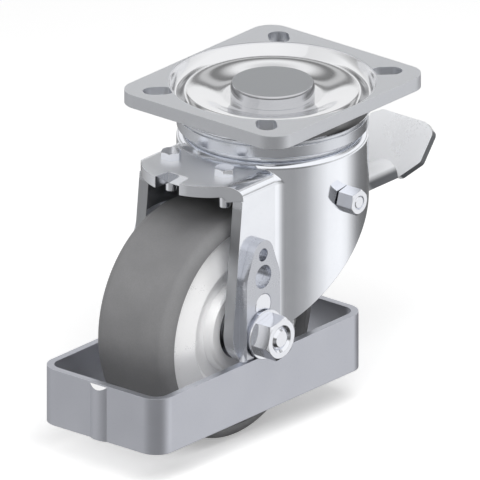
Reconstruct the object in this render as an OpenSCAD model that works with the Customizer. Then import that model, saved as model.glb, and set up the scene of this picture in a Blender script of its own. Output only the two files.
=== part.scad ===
// Heavy swivel castor with a rectangular foot guard round the wheel and a rear brake pedal.
// Origin: swivel axis at the mounting face of the top plate. +Z up, +X towards the pedal, +Y along the axle.
// The wheel trails on the -X side. All sizes are millimetres.

/* [Top plate] */
// Thickness of the plate
plate_t = 6; // [5:0.5:7]
// Corner radius of the plate
plate_corner = 10; // [6:1:14]
// Spacing of the slotted holes along X
slot_pitch_x = 80; // [76:1:84]
// Spacing of the slotted holes along Y
slot_pitch_y = 60; // [58:1:64]
// Width of each slot
slot_w = 9; // [8:0.5:10.5]
// Overall length of each slot
slot_len = 13.2; // [11:0.1:14]
// Distance from a slot's middle to the plate's short edge
slot_edge = 11; // [9:0.5:18]
// Distance from the pressed centre to the plate's long edges
press_margin = 0.7; // [0.5:0.1:8]
// How far the pressed centre reaches beyond the race ring
press_over = 3.4; // [3:0.1:3.8]
// Depth of the pressed outer groove
press_groove_h = 6; // [5:0.1:6.5]
// Depth of the pressed crest over the upper balls
press_crest_h = 3.3; // [3:0.1:4]
// Depth of the bowl that the king pin sits in
bowl_h = 6.5; // [6:0.1:7]
// Radius of the flat floor of the bowl
bowl_floor_r = 21; // [19.5:0.1:23]

/* [Swivel head] */
// Radius of the king pin's head
pin_head_r = 18; // [16:0.1:18.5]
// Height of the taper round the king pin's head
pin_taper_h = 1.6; // [0.5:0.1:2.5]
// How far the king pin's head lies under the mounting face
pin_head_drop = 0.3; // [0.1:0.1:1]
// Radius of the king pin's body
pin_r = 10; // [9:0.1:11]
// Radius of the king pin's threaded end
pin_thread_r = 8; // [7:0.1:8.5]
// Distance from the circle of the upper balls to the outside of the race ring
upper_ring_in = 4.1; // [3.9:0.1:4.4]
// Number of upper balls
upper_count = 36; // [24:1:36]
// Radius of the circle of the lower balls
lower_ring_r = 24; // [22:0.1:25]
// Number of lower balls
lower_count = 24; // [16:1:24]
// Radius of the balls of the swivel head
ball_r = 3; // [2.8:0.05:3.1]
// Running clearance between a ball and its track
ball_gap = 0.06; // [0.03:0.01:0.1]
// How far the race ring lies inside the fork's round back
race_ring_in = 0.1; // [0:0.1:0.6]
// Height of the race ring
race_ring_h = 5.9; // [5:0.1:6.5]
// Height of the lower race
lower_race_h = 4.7; // [4.2:0.1:5]
// Height of the king pin nut
pin_nut_h = 5; // [4:0.1:5.2]
// Width across flats of the king pin nut
pin_nut_af = 24; // [22:0.5:25]

/* [Fork] */
// Outer radius of the fork's round back
fork_r = 41; // [40.5:0.1:42]
// Thickness of the fork's sheet
sheet = 5.2; // [4.6:0.1:5.4]
// Outer half width over the two legs
leg_y = 28.5; // [28:0.1:30]
// Height of the shelf's top face under the mounting face
shelf_drop = 24; // [23:0.1:25]
// Outer radius of the folds between shelf and legs
fold_r = 7; // [6:0.1:9]
// Angle at which the head's shoulder turns into the hollow round it
shoulder_turn = 50; // [35:1:60]
// Radius of the shelf's curved front edge
shelf_front_r = 29.5; // [28:0.1:31]
// Width of the notch in the shelf at its mouth
notch_mouth = 13.8; // [12:0.1:16]
// Width of the notch at its back
notch_back = 11.3; // [9:0.1:12]
// Depth of the notch
notch_depth = 8.7; // [6:0.1:10]
// X distance from the axle forward to the two screws through the shelf
screw_ahead = 4.6; // [3:0.1:7]
// Half the distance between the two screws
screw_y = 14.9; // [13.5:0.1:16]

/* [Wheel] */
// How far the axle lies beyond the radius of the fork's round back
axle_over = 4; // [3:0.1:5.5]
// Clearance between the tyre and the ends of the two shelf screws
wheel_clear = 4.9; // [3:0.1:8]
// Radius of the tyre
tyre_r = 50; // [47:0.1:51]
// Width of the tyre
tyre_w = 40; // [36:0.5:42]
// Radius of the tyre's rounded shoulders
tyre_shoulder = 5; // [3:0.1:6]
// Thickness of the tyre over its seat on the wheel centre
tread_t = 7.3; // [6:0.1:9]
// Width of the wheel centre where the tyre ends
rim_w = 32.5; // [30:0.1:34]
// Radius of the raised crease on the wheel centre
crease_r = 29; // [26:0.1:32]
// Width of the wheel centre over the crease
crease_w = 37.5; // [34:0.1:39]
// Width of the hub
hub_w = 40; // [36:0.1:42]
// Radius of the hub's raised boss
boss_r = 19.5; // [17:0.1:21]
// Outer radius of the ball bearings
bearing_r = 14; // [13:0.1:15]
// Width of the ball bearings
bearing_w = 8; // [7:0.1:9]
// Number of balls in each bearing
bearing_count = 8; // [6:1:9]
// Radius of the axle bolt
axle_r = 5; // [4.5:0.1:5.2]

/* [Foot guard] */
// Length of the guard band along X
guard_l = 138.2; // [130:0.1:145]
// How far the guard band stands out beyond the faces of its lugs
band_proud = 1; // [0.6:0.1:1.6]
// X distance from the axle forward to the middle of the guard band
guard_ahead = 1.4; // [0:0.1:3]
// How far the guard band's top edge lies under the axle
guard_drop = 9.7; // [9:0.1:12]
// Height of the band
guard_h = 25.5; // [20:0.5:28]
// Thickness of the band
guard_t = 3.2; // [2.5:0.1:3.6]
// Outer corner radius of the band
guard_corner = 9; // [7:0.5:14]
// Width of the weld seam on the band's front
seam_w = 9.3; // [7:0.1:12]
// How far the weld seam stands out
seam_h = 1.2; // [0.8:0.1:1.6]
// Thickness of the guard's lugs
lug_t = 4; // [3.6:0.1:4.4]
// Width of the guard's lugs
lug_w = 22; // [20:0.1:26]
// Radius of the lugs' rounded top
lug_top_r = 6.5; // [5.5:0.1:8]
// Pitch of the height adjusting holes
lug_pitch = 13; // [12.5:0.1:13.5]
// Radius of the height adjusting holes
lug_hole_r = 5.2; // [5:0.1:5.4]

/* [Brake] */
// X position of the brake pivot
pivot_x = -1.4; // [-2:0.1:0]
// Height of the brake pivot
pivot_z = -42.8; // [-43.5:0.1:-42.6]
// Radius of the pivot bolt
pivot_r = 3; // [2.7:0.1:3.1]
// Brake pedal travel in degrees
pedal_travel = 12; // [8:1:14]
// Thickness of the pedal's plate
pedal_t = 3; // [2.5:0.1:3.5]
// X position of the pedal's rear edge
pedal_end = 87.7; // [82:0.1:95]
// Height of the pedal's rear edge
pedal_end_z = -43; // [-46:0.1:-42]
// Slope of the pedal's tread in degrees
pedal_slope = 51.85; // [45:0.5:56]
// Half the width of the pedal's tread
pedal_half = 17.5; // [15:0.1:20]
// Distance from the middle to a lever cheek's inner face
cheek_y = 15; // [14.5:0.1:15.5]
// Height of the neck's crown
neck_top = -59; // [-60:0.1:-58]
// Half the width of the neck
neck_half = 10; // [9:0.1:11]

/* [Fasteners] */
// Width across flats of the axle nut and bolt head
axle_af = 17; // [16:0.1:18]
// Height of the axle nut
axle_nut_h = 8.2; // [7:0.1:10]
// Radius of the large axle washers
washer_r = 10.9; // [10:0.1:12]
// Thickness of the large axle washers
washer_t = 0.95; // [0.8:0.05:1.5]
// Radius of the small washers under them
lock_washer_r = 9.5; // [8.5:0.1:9.6]
// Width across flats of the pivot nut and bolt head
pivot_af = 10; // [9.5:0.1:11]
// Height of the pivot nut
pivot_nut_h = 8.2; // [5:0.1:9]
// Width across flats of the shelf screws
screw_af = 8; // [7:0.1:9]
// Height of the shelf screws' heads
screw_head_h = 3.5; // [3:0.1:4.2]
// Radius of the shelf screws
screw_r = 2.5; // [2:0.1:2.8]
// Length of the shelf screws under the head
screw_len = 14.8; // [12:0.1:16]

/* [Hidden] */
$fn = 96;

// Clearances
slip = 0.05;        // round parts that turn or slide on each other
air = 0.4;          // parts that pass each other without touching
band_gap = 0.25;    // between the fork's sheet and the guard band
hollow_bite = 0.05; // depth at which the head's hollow crosses the shoulder and the shelf
far = 120;          // reach of cutting shapes, past every side of the part
eps = 0.01;

// Places that follow from the driving sizes
race_ring_r = fork_r - race_ring_in;
upper_ring_r = race_ring_r - upper_ring_in;
press_r = race_ring_r + press_over;
plate_l = slot_pitch_x + 2 * slot_edge;
plate_w = 2 * (press_r + press_margin);
axle_x = -fork_r - axle_over;
axle_z = -shelf_drop - screw_len - wheel_clear - tyre_r;
seat_r = tyre_r - tread_t;
guard_top = axle_z - guard_drop;
screw_x = axle_x - screw_ahead;
guard_x = axle_x - guard_ahead;
lug_face = leg_y + lug_t;
guard_w = 2 * (lug_face + band_proud);
lock_washer_t = band_proud + slip;
nut_seat = lug_face + lock_washer_t + washer_t;

// Swivel head heights, from the mounting face down
upper_ball_z = -press_crest_h - plate_t - ball_r - ball_gap;
race_ring_top = upper_ball_z - 1.35;
press_gap = -press_groove_h - plate_t - race_ring_top;
head_top = race_ring_top - race_ring_h;
head_under = head_top - sheet;
lower_ball_z = head_under - 1.8;
lower_race_top = lower_ball_z - 1.3;
lower_race_under = lower_race_top - lower_race_h;
pin_shoulder_z = lower_race_top - 0.6;
pin_nut_under = lower_race_under - pin_nut_h;
track_r = ball_r + ball_gap;
lower_race_r = lower_ring_r + ball_r + 2;
seal_t = 1.8;
dust_seal_t = 0.8;

// Fork
leg_in = leg_y - sheet;
shoulder_r = 3.2;
shoulder_top = head_top - 1.9;
shelf_under = -shelf_drop - sheet;
shelf_front_x = axle_x + 3.7;
leg_top_x = axle_x - 8.5;
lug_clear = 1.3;
blend_x = axle_x + lug_w / 2 + lug_clear;
blend_r = (blend_x * blend_x + leg_y * leg_y - fork_r * fork_r) / (2 * (fork_r - leg_y));
step_z = shelf_under - 2.5;
leg_round = 15.5;
leg_low = axle_z - leg_round + 1.7;
leg_rear_x = axle_x + 25;
leg_rear_corner = 8;
back_low = -39;
back_slope = 0.828;

// Wheel
tyre_lip = 1.5;
inner_r = axle_r + slip + 0.95;
bearing_ball_r = 2.4;
bearing_mid_r = (inner_r + bearing_r) / 2;
ring_t = (bearing_r - inner_r) / 2 - 1.6;
bearing_end = hub_w / 2 - 0.5;
seal_disc_t = 0.8;

// Foot guard
lug_top_z = axle_z + 2 * lug_pitch + 10;
lug_tongue = 12;
small_hole_r = 2.85;
band_in = guard_w / 2 - guard_t;

// Brake
eye_r = 7.5;
bush_r = 5.2;
cheek_out = cheek_y + pedal_t;
shoe_gap = 0.3;
neck_rise = 5;
neck_r = (neck_half * neck_half + neck_rise * neck_rise) / (2 * neck_rise);
neck_start = 44;
shoe_l = 13;
shoe_h = 9;
shoe_front = pivot_x - 5;
shoe_top = pivot_z - 17;
neck_end = pedal_end - 9.7;
cheek_end = neck_start - 8;
web_start = pivot_x + 11;
web_top = pivot_z - 4.5;
web_end = neck_start + 6;
tread_l = 26.2;
tread_low_half = 10.2;
tread_high_half = 11.9;
tread_wide_from = 8.9;
tread_wide_to = 22.8;
spring_front = screw_x - 8.4;
spring_t = 1.6;
spring_y = 19;
finger_y = 14;
finger_start = axle_x + 5;
finger_drop = 0.41;

// Points on an arc round c from angle a0 to a1, in n steps
function arc(c, r, a0, a1, n = 8) =
  [for (i = [0:n]) let (a = a0 + (a1 - a0) * i / n) [c[0] + r * cos(a), c[1] + r * sin(a)]];
// Points on a smooth step from p to q, flat at both ends
function s_curve(p, q, n = 10) =
  [for (i = [0:n]) let (t = i / n) [p[0] + (q[0] - p[0]) * t, p[1] + (q[1] - p[1]) * (1 - cos(180 * t)) / 2]];
// Points on a quarter wave that starts steep at p and ends flat at q
function dip(p, q, n = 8) =
  [for (i = [0:n]) let (t = i / n) [p[0] + (q[0] - p[0]) * t, p[1] + (q[1] - p[1]) * sin(90 * t)]];
function reversed(list) = [for (i = [len(list) - 1:-1:0]) list[i]];
// A point [x, z] turned by angle a about the Y axis
function turned(p, a) = [p[0] * cos(a) + p[1] * sin(a), -p[0] * sin(a) + p[1] * cos(a)];

// Solid whose outline is drawn in X and Z and that runs from y0 to y1
module along_y(y0, y1) {
  translate([0, y1, 0]) rotate([90, 0, 0]) linear_extrude(y1 - y0) children();
}
// Puts children, drawn round the local Z axis, on the wheel's axle
module on_axle() {
  translate([axle_x, 0, axle_z]) rotate([90, 0, 0]) children();
}
module on_pivot() {
  translate([pivot_x, 0, pivot_z]) rotate([90, 0, 0]) children();
}
// Copies children to both sides of the middle plane
module both_sides() {
  children();
  mirror([0, 1, 0]) children();
}
module rounded_rect(l, w, r) {
  for (sx = [-1, 1], sy = [-1, 1])
    translate([sx * (l / 2 - r), sy * (w / 2 - r)]) circle(r);
  square([l - 2 * r, w], center = true);
  square([l, w - 2 * r], center = true);
}
module tube(r_out, r_in, h) {
  difference() {
    cylinder(r = r_out, h = h);
    translate([0, 0, -1]) cylinder(r = r_in, h = h + 2);
  }
}
// Hexagon prism from z = 0 to h with its corners turned off at the ends that are named
module hex(af, h, top = true, bottom = false) {
  corner = af / sqrt(3);
  off = corner - af / 2;
  intersection() {
    rotate(30) cylinder(r = corner, h = h, $fn = 6);
    rotate_extrude() polygon([
      [0, 0], [corner + 1 - (bottom ? off + 1 : 0), 0], [corner + 1, bottom ? (off + 1) * 0.5 : 0],
      [corner + 1, h - (top ? (off + 1) * 0.5 : 0)], [corner + 1 - (top ? off + 1 : 0), h], [0, h]
    ]);
  }
}
// Balls in a ring of radius r at height z
module ball_ring(r, z, count, size) {
  for (i = [0:count - 1]) rotate(360 / count * (i + 0.5)) translate([r, 0, z]) sphere(size);
}

// Top plate

module slot_cut() {
  half = (slot_len - slot_w) / 2;
  for (s = [-1, 1]) translate([s * half, 0, 0]) circle(slot_w / 2);
  square([2 * half, slot_w], center = true);
}
module top_plate() {
  groove_r = press_r - 3.1;
  press_lap = 0.4;
  top_line = concat(
    [[press_r + press_lap, 0]], dip([press_r, 0], [groove_r, -press_groove_h]),
    s_curve([groove_r, -press_groove_h], [upper_ring_r, -press_crest_h]),
    s_curve([upper_ring_r, -press_crest_h], [bowl_floor_r, -bowl_h], 14), [[pin_r + slip, -bowl_h]]
  );
  track = arc([upper_ring_r, upper_ball_z], track_r, 155, 25, 12);
  low_line = concat(
    [[pin_r + slip, -bowl_h - plate_t], [bowl_floor_r, -bowl_h - plate_t]],
    [[track[0][0] - 1.5, track[0][1]]], track,
    reversed(dip([press_r, -plate_t], [groove_r, -press_groove_h - plate_t])), [[press_r + press_lap, -plate_t]]
  );
  color("silver") difference() {
    union() {
      translate([0, 0, -plate_t]) linear_extrude(plate_t) difference() {
        rounded_rect(plate_l, plate_w, plate_corner);
        circle(press_r + press_lap / 2);
      }
      rotate_extrude() polygon(concat(top_line, low_line));
    }
    for (sx = [-1, 1], sy = [-1, 1])
      translate([sx * slot_pitch_x / 2, sy * slot_pitch_y / 2, -2 * plate_t])
        rotate(45 * sx * sy) linear_extrude(3 * plate_t) slot_cut();
  }
}

// Swivel head

module king_pin() {
  top = -pin_head_drop;
  end = pin_nut_under - 0.4;
  color("lightgrey") rotate_extrude() polygon([
    [0, top], [pin_head_r - 0.7, top], [pin_head_r, top - pin_taper_h], [pin_head_r, -bowl_h],
    [pin_r, -bowl_h], [pin_r, pin_shoulder_z], [pin_thread_r, pin_shoulder_z],
    [pin_thread_r, end + 1], [pin_thread_r - 1, end], [0, end]
  ]);
}
module king_pin_nut() {
  color("lightgrey") translate([0, 0, pin_nut_under]) difference() {
    hex(pin_nut_af, pin_nut_h, top = false, bottom = true);
    translate([0, 0, -1]) cylinder(r = pin_thread_r, h = pin_nut_h + 2);
  }
}
module lower_race() {
  track = arc([lower_ring_r, lower_ball_z], track_r, 205, 335, 12);
  color("grey") rotate_extrude() polygon(concat(
    [[pin_thread_r, lower_race_under], [pin_thread_r, pin_shoulder_z], [lower_ring_r - ball_r - 1.5, pin_shoulder_z],
     [lower_ring_r - ball_r - 1, track[0][1]]], track, [[lower_race_r, track[0][1]], [lower_race_r, lower_race_under]]
  ));
}
module swivel_seal() {
  top = head_under - air;
  color("dimgrey") translate([0, 0, lower_race_under + 1]) tube(lower_race_r + seal_t, lower_race_r, top - lower_race_under - 1);
}
module upper_balls() {
  color("white") ball_ring(upper_ring_r, upper_ball_z, upper_count, ball_r);
}
module lower_balls() {
  color("white") ball_ring(lower_ring_r, lower_ball_z, lower_count, ball_r);
}
module race_ring() {
  inner = upper_ring_r - ball_r - 2.2;
  edge = 0.6;
  half = sqrt(track_r * track_r - pow(upper_ball_z - race_ring_top, 2));
  start = 180 + atan2(upper_ball_z - race_ring_top, half);
  color("gainsboro") rotate_extrude() polygon(concat(
    [[inner, head_top], [inner, race_ring_top]],
    arc([upper_ring_r, upper_ball_z], track_r, start, 540 - start, 12),
    [[race_ring_r - edge, race_ring_top], [race_ring_r, race_ring_top - edge],
     [race_ring_r, head_top + edge], [race_ring_r - edge, head_top]]
  ));
}

// Wiper that closes the gap between the race ring and the plate
module dust_seal() {
  color("dimgrey") translate([0, 0, race_ring_top])
    tube(race_ring_r - 0.1, race_ring_r - 0.1 - dust_seal_t, press_gap - air);
}

// Fork

// Plan outline of the walls: round back, two legs and the blends between them
module fork_plan(r, y, blend) {
  mid_y = y + blend;
  mid_x = -sqrt(pow(r + blend, 2) - mid_y * mid_y);
  touch = [mid_x, mid_y] * r / (r + blend);
  circle(r);
  translate([-far, -y]) square([far, 2 * y]);
  for (s = [-1, 1]) difference() {
    polygon([[mid_x, s * (y - 1)], [mid_x, s * mid_y], [touch[0], s * touch[1]], [touch[0], s * (y - 1)]]);
    translate([mid_x, s * mid_y]) circle(blend);
  }
}
// Hollow that leads from the head's shoulder down onto the shelf, with its ends ramped
module head_hollow() {
  c = [fork_r - shoulder_r, shoulder_top - shoulder_r];
  edge = [c[0] + shoulder_r * cos(shoulder_turn), c[1] + shoulder_r * sin(shoulder_turn)];
  hollow_r = (edge[1] + shelf_drop) / (1 - sin(shoulder_turn)) + hollow_bite;
  foot = [edge[0] + (hollow_r - hollow_bite) * cos(shoulder_turn), hollow_r - hollow_bite - shelf_drop];
  low = -shelf_drop - sheet / 2;
  side = leg_y - fold_r - 0.3;
  ramp = edge[1] + shelf_drop + 1;
  intersection() {
    rotate_extrude() polygon(concat(
      [[edge[0] - 1, low], [edge[0] - 1, edge[1] - 0.5]], arc(foot, hollow_r, 180 + shoulder_turn, 270, 10), [[foot[0], low]]
    ));
    translate([-far, 0, 0]) rotate([90, 0, 90]) linear_extrude(far - 5) polygon([
      [-side, low - 1], [-side, -shelf_drop - 0.2], [-side + ramp, -shelf_drop - 0.2 + ramp],
      [side - ramp, -shelf_drop - 0.2 + ramp], [side, -shelf_drop - 0.2], [side, low - 1]
    ]);
  }
}
// Section of the shelf with its two folds, drawn in Y and Z
module fold_section(y, top, r, low) {
  for (s = [-1, 1]) translate([s * (y - r), top - r]) circle(r);
  translate([-y + r, top - 2 * r]) square([2 * (y - r), 2 * r]);
  translate([-y, low]) square([2 * y, top - r - low]);
}
module fork_outer() {
  low = leg_low - 10;
  rotate_extrude() polygon(concat(
    [[0, low], [0, head_top], [fork_r - shoulder_r - 0.2, head_top], [fork_r - shoulder_r - 0.2, shoulder_top]],
    arc([fork_r - shoulder_r, shoulder_top - shoulder_r], shoulder_r, 90, 0, 10), [[fork_r, low]]
  ));
  translate([-far, 0, 0]) rotate([90, 0, 90]) linear_extrude(far - fork_r / 2) fold_section(leg_y, -shelf_drop, fold_r, low);
  head_hollow();
  translate([0, 0, low]) linear_extrude(-shelf_drop - fold_r * 0.5 - low) intersection() {
    fork_plan(fork_r, leg_y, blend_r);
    translate([blend_x - 4, -far]) square([blend_r + 8, 2 * far]);
  }
}
module fork_inner() {
  low = leg_low - 12;
  inner = fork_r - sheet;
  round = 2;
  rotate_extrude() polygon(concat(
    [[0, low], [0, head_under], [inner - round, head_under]],
    arc([inner - round, head_under - round], round, 90, 0, 4), [[inner, low]]
  ));
  translate([-far - 1, 0, 0]) rotate([90, 0, 90]) linear_extrude(far - 4)
    fold_section(leg_in, shelf_under, round, low);
  translate([0, 0, low]) linear_extrude(shelf_under - round - low) fork_plan(inner, leg_in, blend_r + sheet);
}
// Side outline of the fork, drawn in X and Z
module fork_side() {
  back_z = back_low - back_slope * (fork_r - leg_rear_x);
  polygon(concat(
    [[-far, 0], [far, 0], [far, back_low + back_slope * (far - fork_r)], [leg_rear_x, back_z]],
    arc([leg_rear_x - leg_rear_corner, leg_low + leg_rear_corner], leg_rear_corner, 0, -90, 6),
    arc([axle_x, leg_low + leg_round], leg_round, -90, -180, 12),
    [[leg_top_x - 0.6, step_z], [-far, step_z]]
  ));
}
// Plan outline of the shelf's front edge with its notch
module fork_front() {
  y_end = 20;
  a_end = asin(y_end / shelf_front_r);
  front = shelf_front_x - shelf_front_r;
  difference() {
    polygon(concat(
      [[far, -far], [leg_top_x + 3, -far], [leg_top_x, -leg_y]],
      arc([shelf_front_x, 0], shelf_front_r, 180 + a_end, 180 - a_end, 24),
      [[leg_top_x, leg_y], [leg_top_x + 3, far], [far, far]]
    ));
    polygon([
      [front - 1, -notch_mouth / 2], [front + notch_depth, -notch_back / 2],
      [front + notch_depth, notch_back / 2], [front - 1, notch_mouth / 2]
    ]);
  }
}
module fork_holes() {
  hole = 12.5;
  translate([0, 0, head_under - 1]) cylinder(r = hole, h = sheet + 2);
  rotate_extrude() polygon(arc([lower_ring_r, lower_ball_z], track_r, 0, 360, 36));
  for (s = [-1, 1]) translate([screw_x, s * screw_y, shelf_under - 1]) cylinder(r = screw_r + slip, h = sheet + 2);
  on_axle() cylinder(r = axle_r + 0.1, h = 4 * leg_y, center = true);
  translate([0, 0, lug_pitch]) on_axle() cylinder(r = lug_hole_r, h = 4 * leg_y, center = true);
  on_pivot() cylinder(r = pivot_r + slip, h = 4 * leg_y, center = true);
}
module fork() {
  color("whitesmoke") difference() {
    intersection() {
      fork_outer();
      along_y(-far, far) fork_side();
      union() {
        translate([0, 0, step_z - 0.5]) linear_extrude(40) fork_front();
        translate([0, 0, leg_low - 20]) linear_extrude(step_z - 0.2 - leg_low + 20)
          translate([-far, -far]) square(2 * far);
      }
    }
    fork_inner();
    fork_holes();
    both_sides() translate([-far, band_in - band_gap, leg_low - far]) cube([far, far, guard_top + band_gap - leg_low + far]);
  }
}
module spring_screws() {
  top = -shelf_drop + screw_head_h;
  color("lightgrey") for (s = [-1, 1]) translate([screw_x, s * screw_y, 0]) {
    translate([0, 0, -shelf_drop]) hex(screw_af, top + shelf_drop);
    translate([0, 0, -shelf_drop - screw_len]) rotate_extrude() polygon([
      [0, 0], [screw_r - 0.6, 0], [screw_r, 0.6], [screw_r, screw_len + eps], [0, screw_len + eps]
    ]);
  }
}
// Leaf spring under the shelf, with two fingers that bear on the lever's hub
module holding_spring() {
  end = pivot_x - eye_r - air;
  top = shelf_under;
  fall = finger_drop * (end - finger_start);
  color("grey") difference() {
    union() {
      translate([spring_front, -spring_y, top - spring_t]) cube([finger_start - spring_front, 2 * spring_y, spring_t]);
      both_sides() along_y(finger_y, spring_y) polygon([
        [finger_start - 1, top], [finger_start, top], [end, top - fall], [end, top - fall - spring_t],
        [finger_start, top - spring_t], [finger_start - 1, top - spring_t]
      ]);
    }
    for (s = [-1, 1]) translate([screw_x, s * screw_y, top - 5]) cylinder(r = screw_r, h = 10);
  }
}

// Foot guard

module guard_band() {
  seam_r = (seam_w * seam_w / 4 + seam_h * seam_h) / (2 * seam_h);
  front = guard_x - guard_l / 2;
  color("darkgrey") {
    translate([guard_x, 0, guard_top - guard_h]) linear_extrude(guard_h) difference() {
      rounded_rect(guard_l, guard_w, guard_corner);
      rounded_rect(guard_l - 2 * guard_t, guard_w - 2 * guard_t, guard_corner - guard_t);
    }
    translate([0, 0, guard_top - guard_h]) linear_extrude(guard_h - 1) intersection() {
      translate([front - seam_h + seam_r, 0]) circle(seam_r);
      translate([front - seam_h - 1, -seam_w]) square([seam_h + 1.5, 2 * seam_w]);
    }
  }
}
// Outline of a lug, drawn in X and Z
module lug_outline(low) {
  side = lug_w / 2;
  wide_z = axle_z + 2 * lug_pitch;
  polygon(concat(
    [[axle_x - side, low], [axle_x - side, wide_z - 3]],
    arc([axle_x - side + 14, wide_z - 3], 14, 180, 158, 3),
    arc([axle_x, lug_top_z], lug_top_r, 158, 22, 14),
    arc([axle_x + side - 14, wide_z - 3], 14, 22, 0, 3),
    [[axle_x + side, wide_z - 3], [axle_x + side, low]]
  ));
}
module guard_lug() {
  weld = 1.4;
  color("gainsboro") difference() {
    union() {
      along_y(-lug_face, -leg_y) lug_outline(guard_top);
      along_y(-band_in, -leg_y) lug_outline(guard_top - lug_tongue);
      for (s = [-1, 1]) translate([axle_x + s * lug_w / 2, -leg_y - lug_t / 2, guard_top])
        intersection() {
          cylinder(r1 = weld + 0.4, r2 = 0.2, h = 2 * weld);
          translate([-4, -2, 0]) cube([8, 4, 4]);
        }
    }
    on_axle() cylinder(r = axle_r + 0.1, h = 4 * leg_y, center = true);
    for (i = [1, 2]) translate([0, 0, i * lug_pitch]) on_axle() cylinder(r = lug_hole_r, h = 4 * leg_y, center = true);
    translate([0, 0, lug_top_z - axle_z]) on_axle() cylinder(r = small_hole_r, h = 4 * leg_y, center = true);
  }
}
module guard_lug_near() guard_lug();
module guard_lug_far() mirror([0, 1, 0]) guard_lug();
module guard_pins() {
  color("white") translate([0, 0, lug_pitch]) on_axle() both_ends(leg_in, lug_face) cylinder(r = lug_hole_r, h = lug_face - leg_in);
}
// Copies children, drawn from z = 0 up, to start at distance a from the middle at both ends
module both_ends(a, b) {
  translate([0, 0, a]) children();
  translate([0, 0, -b]) children();
}

// Axle

module axle_bolt() {
  end = nut_seat + axle_nut_h;
  start = nut_seat;
  head_h = 6.4;
  color("white") on_axle() {
    rotate_extrude() polygon([
      [0, -start - eps], [axle_r, -start - eps], [axle_r, end - 1.5], [axle_r - 1.5, end], [0, end]
    ]);
    translate([0, 0, -start - head_h]) hex(axle_af, head_h, top = false, bottom = true);
  }
}
module axle_nut() {
  color("white") on_axle() translate([0, 0, nut_seat]) difference() {
    hex(axle_af, axle_nut_h);
    translate([0, 0, -1]) cylinder(r = axle_r, h = axle_nut_h + 2);
    translate([0, 0, axle_nut_h - 1]) cylinder(r1 = axle_r, r2 = axle_r + 1.1, h = 1 + eps);
  }
}
// A small washer inside and a large one outside, on each side
module axle_washers() {
  color("white") on_axle() {
    both_ends(lug_face, lug_face + lock_washer_t) tube(lock_washer_r, axle_r + 0.1, lock_washer_t);
    both_ends(nut_seat - washer_t, nut_seat) tube(washer_r, axle_r + 0.1, washer_t);
  }
}
module axle_sleeve() {
  color("lightgrey") on_axle() translate([0, 0, -leg_in]) tube(inner_r, axle_r + slip, 2 * leg_in);
}
module hub_spacers() {
  color("lightgrey") on_axle() both_ends(bearing_end, leg_in) tube(inner_r + ring_t, inner_r, leg_in - bearing_end);
}
module distance_tube() {
  half = bearing_end - bearing_w;
  color("lightgrey") on_axle() translate([0, 0, -half]) tube(inner_r + ring_t - 0.5, inner_r, 2 * half);
}

// Wheel

module bearing_track() {
  rotate_extrude() translate([bearing_mid_r, bearing_w / 2]) circle(bearing_ball_r + slip, $fn = 36);
}
module bearing_inner_rings() {
  color("silver") on_axle() both_ends(bearing_end - bearing_w, bearing_end) difference() {
    tube(inner_r + ring_t, inner_r, bearing_w);
    bearing_track();
  }
}
module bearing_outer_rings() {
  color("silver") on_axle() both_ends(bearing_end - bearing_w, bearing_end) difference() {
    tube(bearing_r, bearing_r - ring_t, bearing_w);
    bearing_track();
  }
}
module bearing_balls() {
  color("white") on_axle() both_ends(bearing_end - bearing_w, bearing_end)
    ball_ring(bearing_mid_r, bearing_w / 2, bearing_count, bearing_ball_r);
}
module bearing_seals() {
  out = bearing_r - ring_t;
  color("black") on_axle() for (s = [-1, 1])
    translate([0, 0, s * (bearing_end - seal_disc_t) - seal_disc_t / 2]) tube(out, inner_r + ring_t + air / 2, seal_disc_t);
}
// Half profile of a body that is the same on both sides, from the points of one side
module mirrored_profile(points) {
  polygon(concat(points, reversed([for (p = points) [p[0], -p[1]]])));
}
module tyre() {
  y = tyre_w / 2;
  lip_r = tyre_r - tyre_shoulder - 0.8;
  color("grey") on_axle() rotate_extrude() mirrored_profile(concat(
    [[seat_r, rim_w / 2], [lip_r - tyre_lip + 0.3, rim_w / 2], [lip_r, y]],
    arc([tyre_r - tyre_shoulder, y - tyre_shoulder], tyre_shoulder, 90, 0, 10)
  ));
}
module wheel_centre() {
  y = hub_w / 2;
  seat_y = bearing_end - bearing_w;
  dish_y = crease_w / 2 - 2.5;
  color("whitesmoke") on_axle() rotate_extrude() mirrored_profile([
    [bearing_r - 1.5, seat_y], [bearing_r, seat_y], [bearing_r, y], [boss_r - 1, y], [boss_r, y - 1],
    [boss_r + 1, dish_y], [crease_r - 3, dish_y], [crease_r - 0.5, crease_w / 2], [crease_r + 0.5, crease_w / 2],
    [seat_r - 0.4, rim_w / 2], [seat_r, rim_w / 2 - 0.4]
  ]);
}

// Brake

module brake_pivot_bolt() {
  head_h = 4;
  out = fork_r + 0.2;
  color("white") on_pivot() {
    rotate_extrude() polygon([
      [0, -out - eps], [pivot_r, -out - eps], [pivot_r, out + pivot_nut_h - 0.6], [pivot_r - 0.6, out + pivot_nut_h],
      [0, out + pivot_nut_h]
    ]);
    translate([0, 0, -out - head_h]) hex(pivot_af, head_h, top = false, bottom = true);
  }
}
module brake_pivot_nut() {
  color("white") on_pivot() translate([0, 0, fork_r + 0.2]) difference() {
    hex(pivot_af, pivot_nut_h);
    translate([0, 0, -1]) cylinder(r = pivot_r, h = pivot_nut_h + 2);
  }
}
module pivot_spacers() {
  start = cheek_out + 0.9;
  end = sqrt(pow(fork_r - sheet, 2) - pow(pivot_r + 2 - pivot_x, 2)) - 0.2;
  color("lightgrey") on_pivot() both_ends(start, end) tube(pivot_r + 2, pivot_r + slip, end - start);
}
// The tyre as the pedal sees it at full travel, with a gap round it
module tyre_space(gap) {
  c = turned([axle_x - pivot_x, axle_z - pivot_z], -pedal_travel);
  translate([pivot_x + c[0], 0, pivot_z + c[1]]) rotate([90, 0, 0]) cylinder(r = tyre_r + gap, h = 2 * tyre_w, center = true);
}
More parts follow.
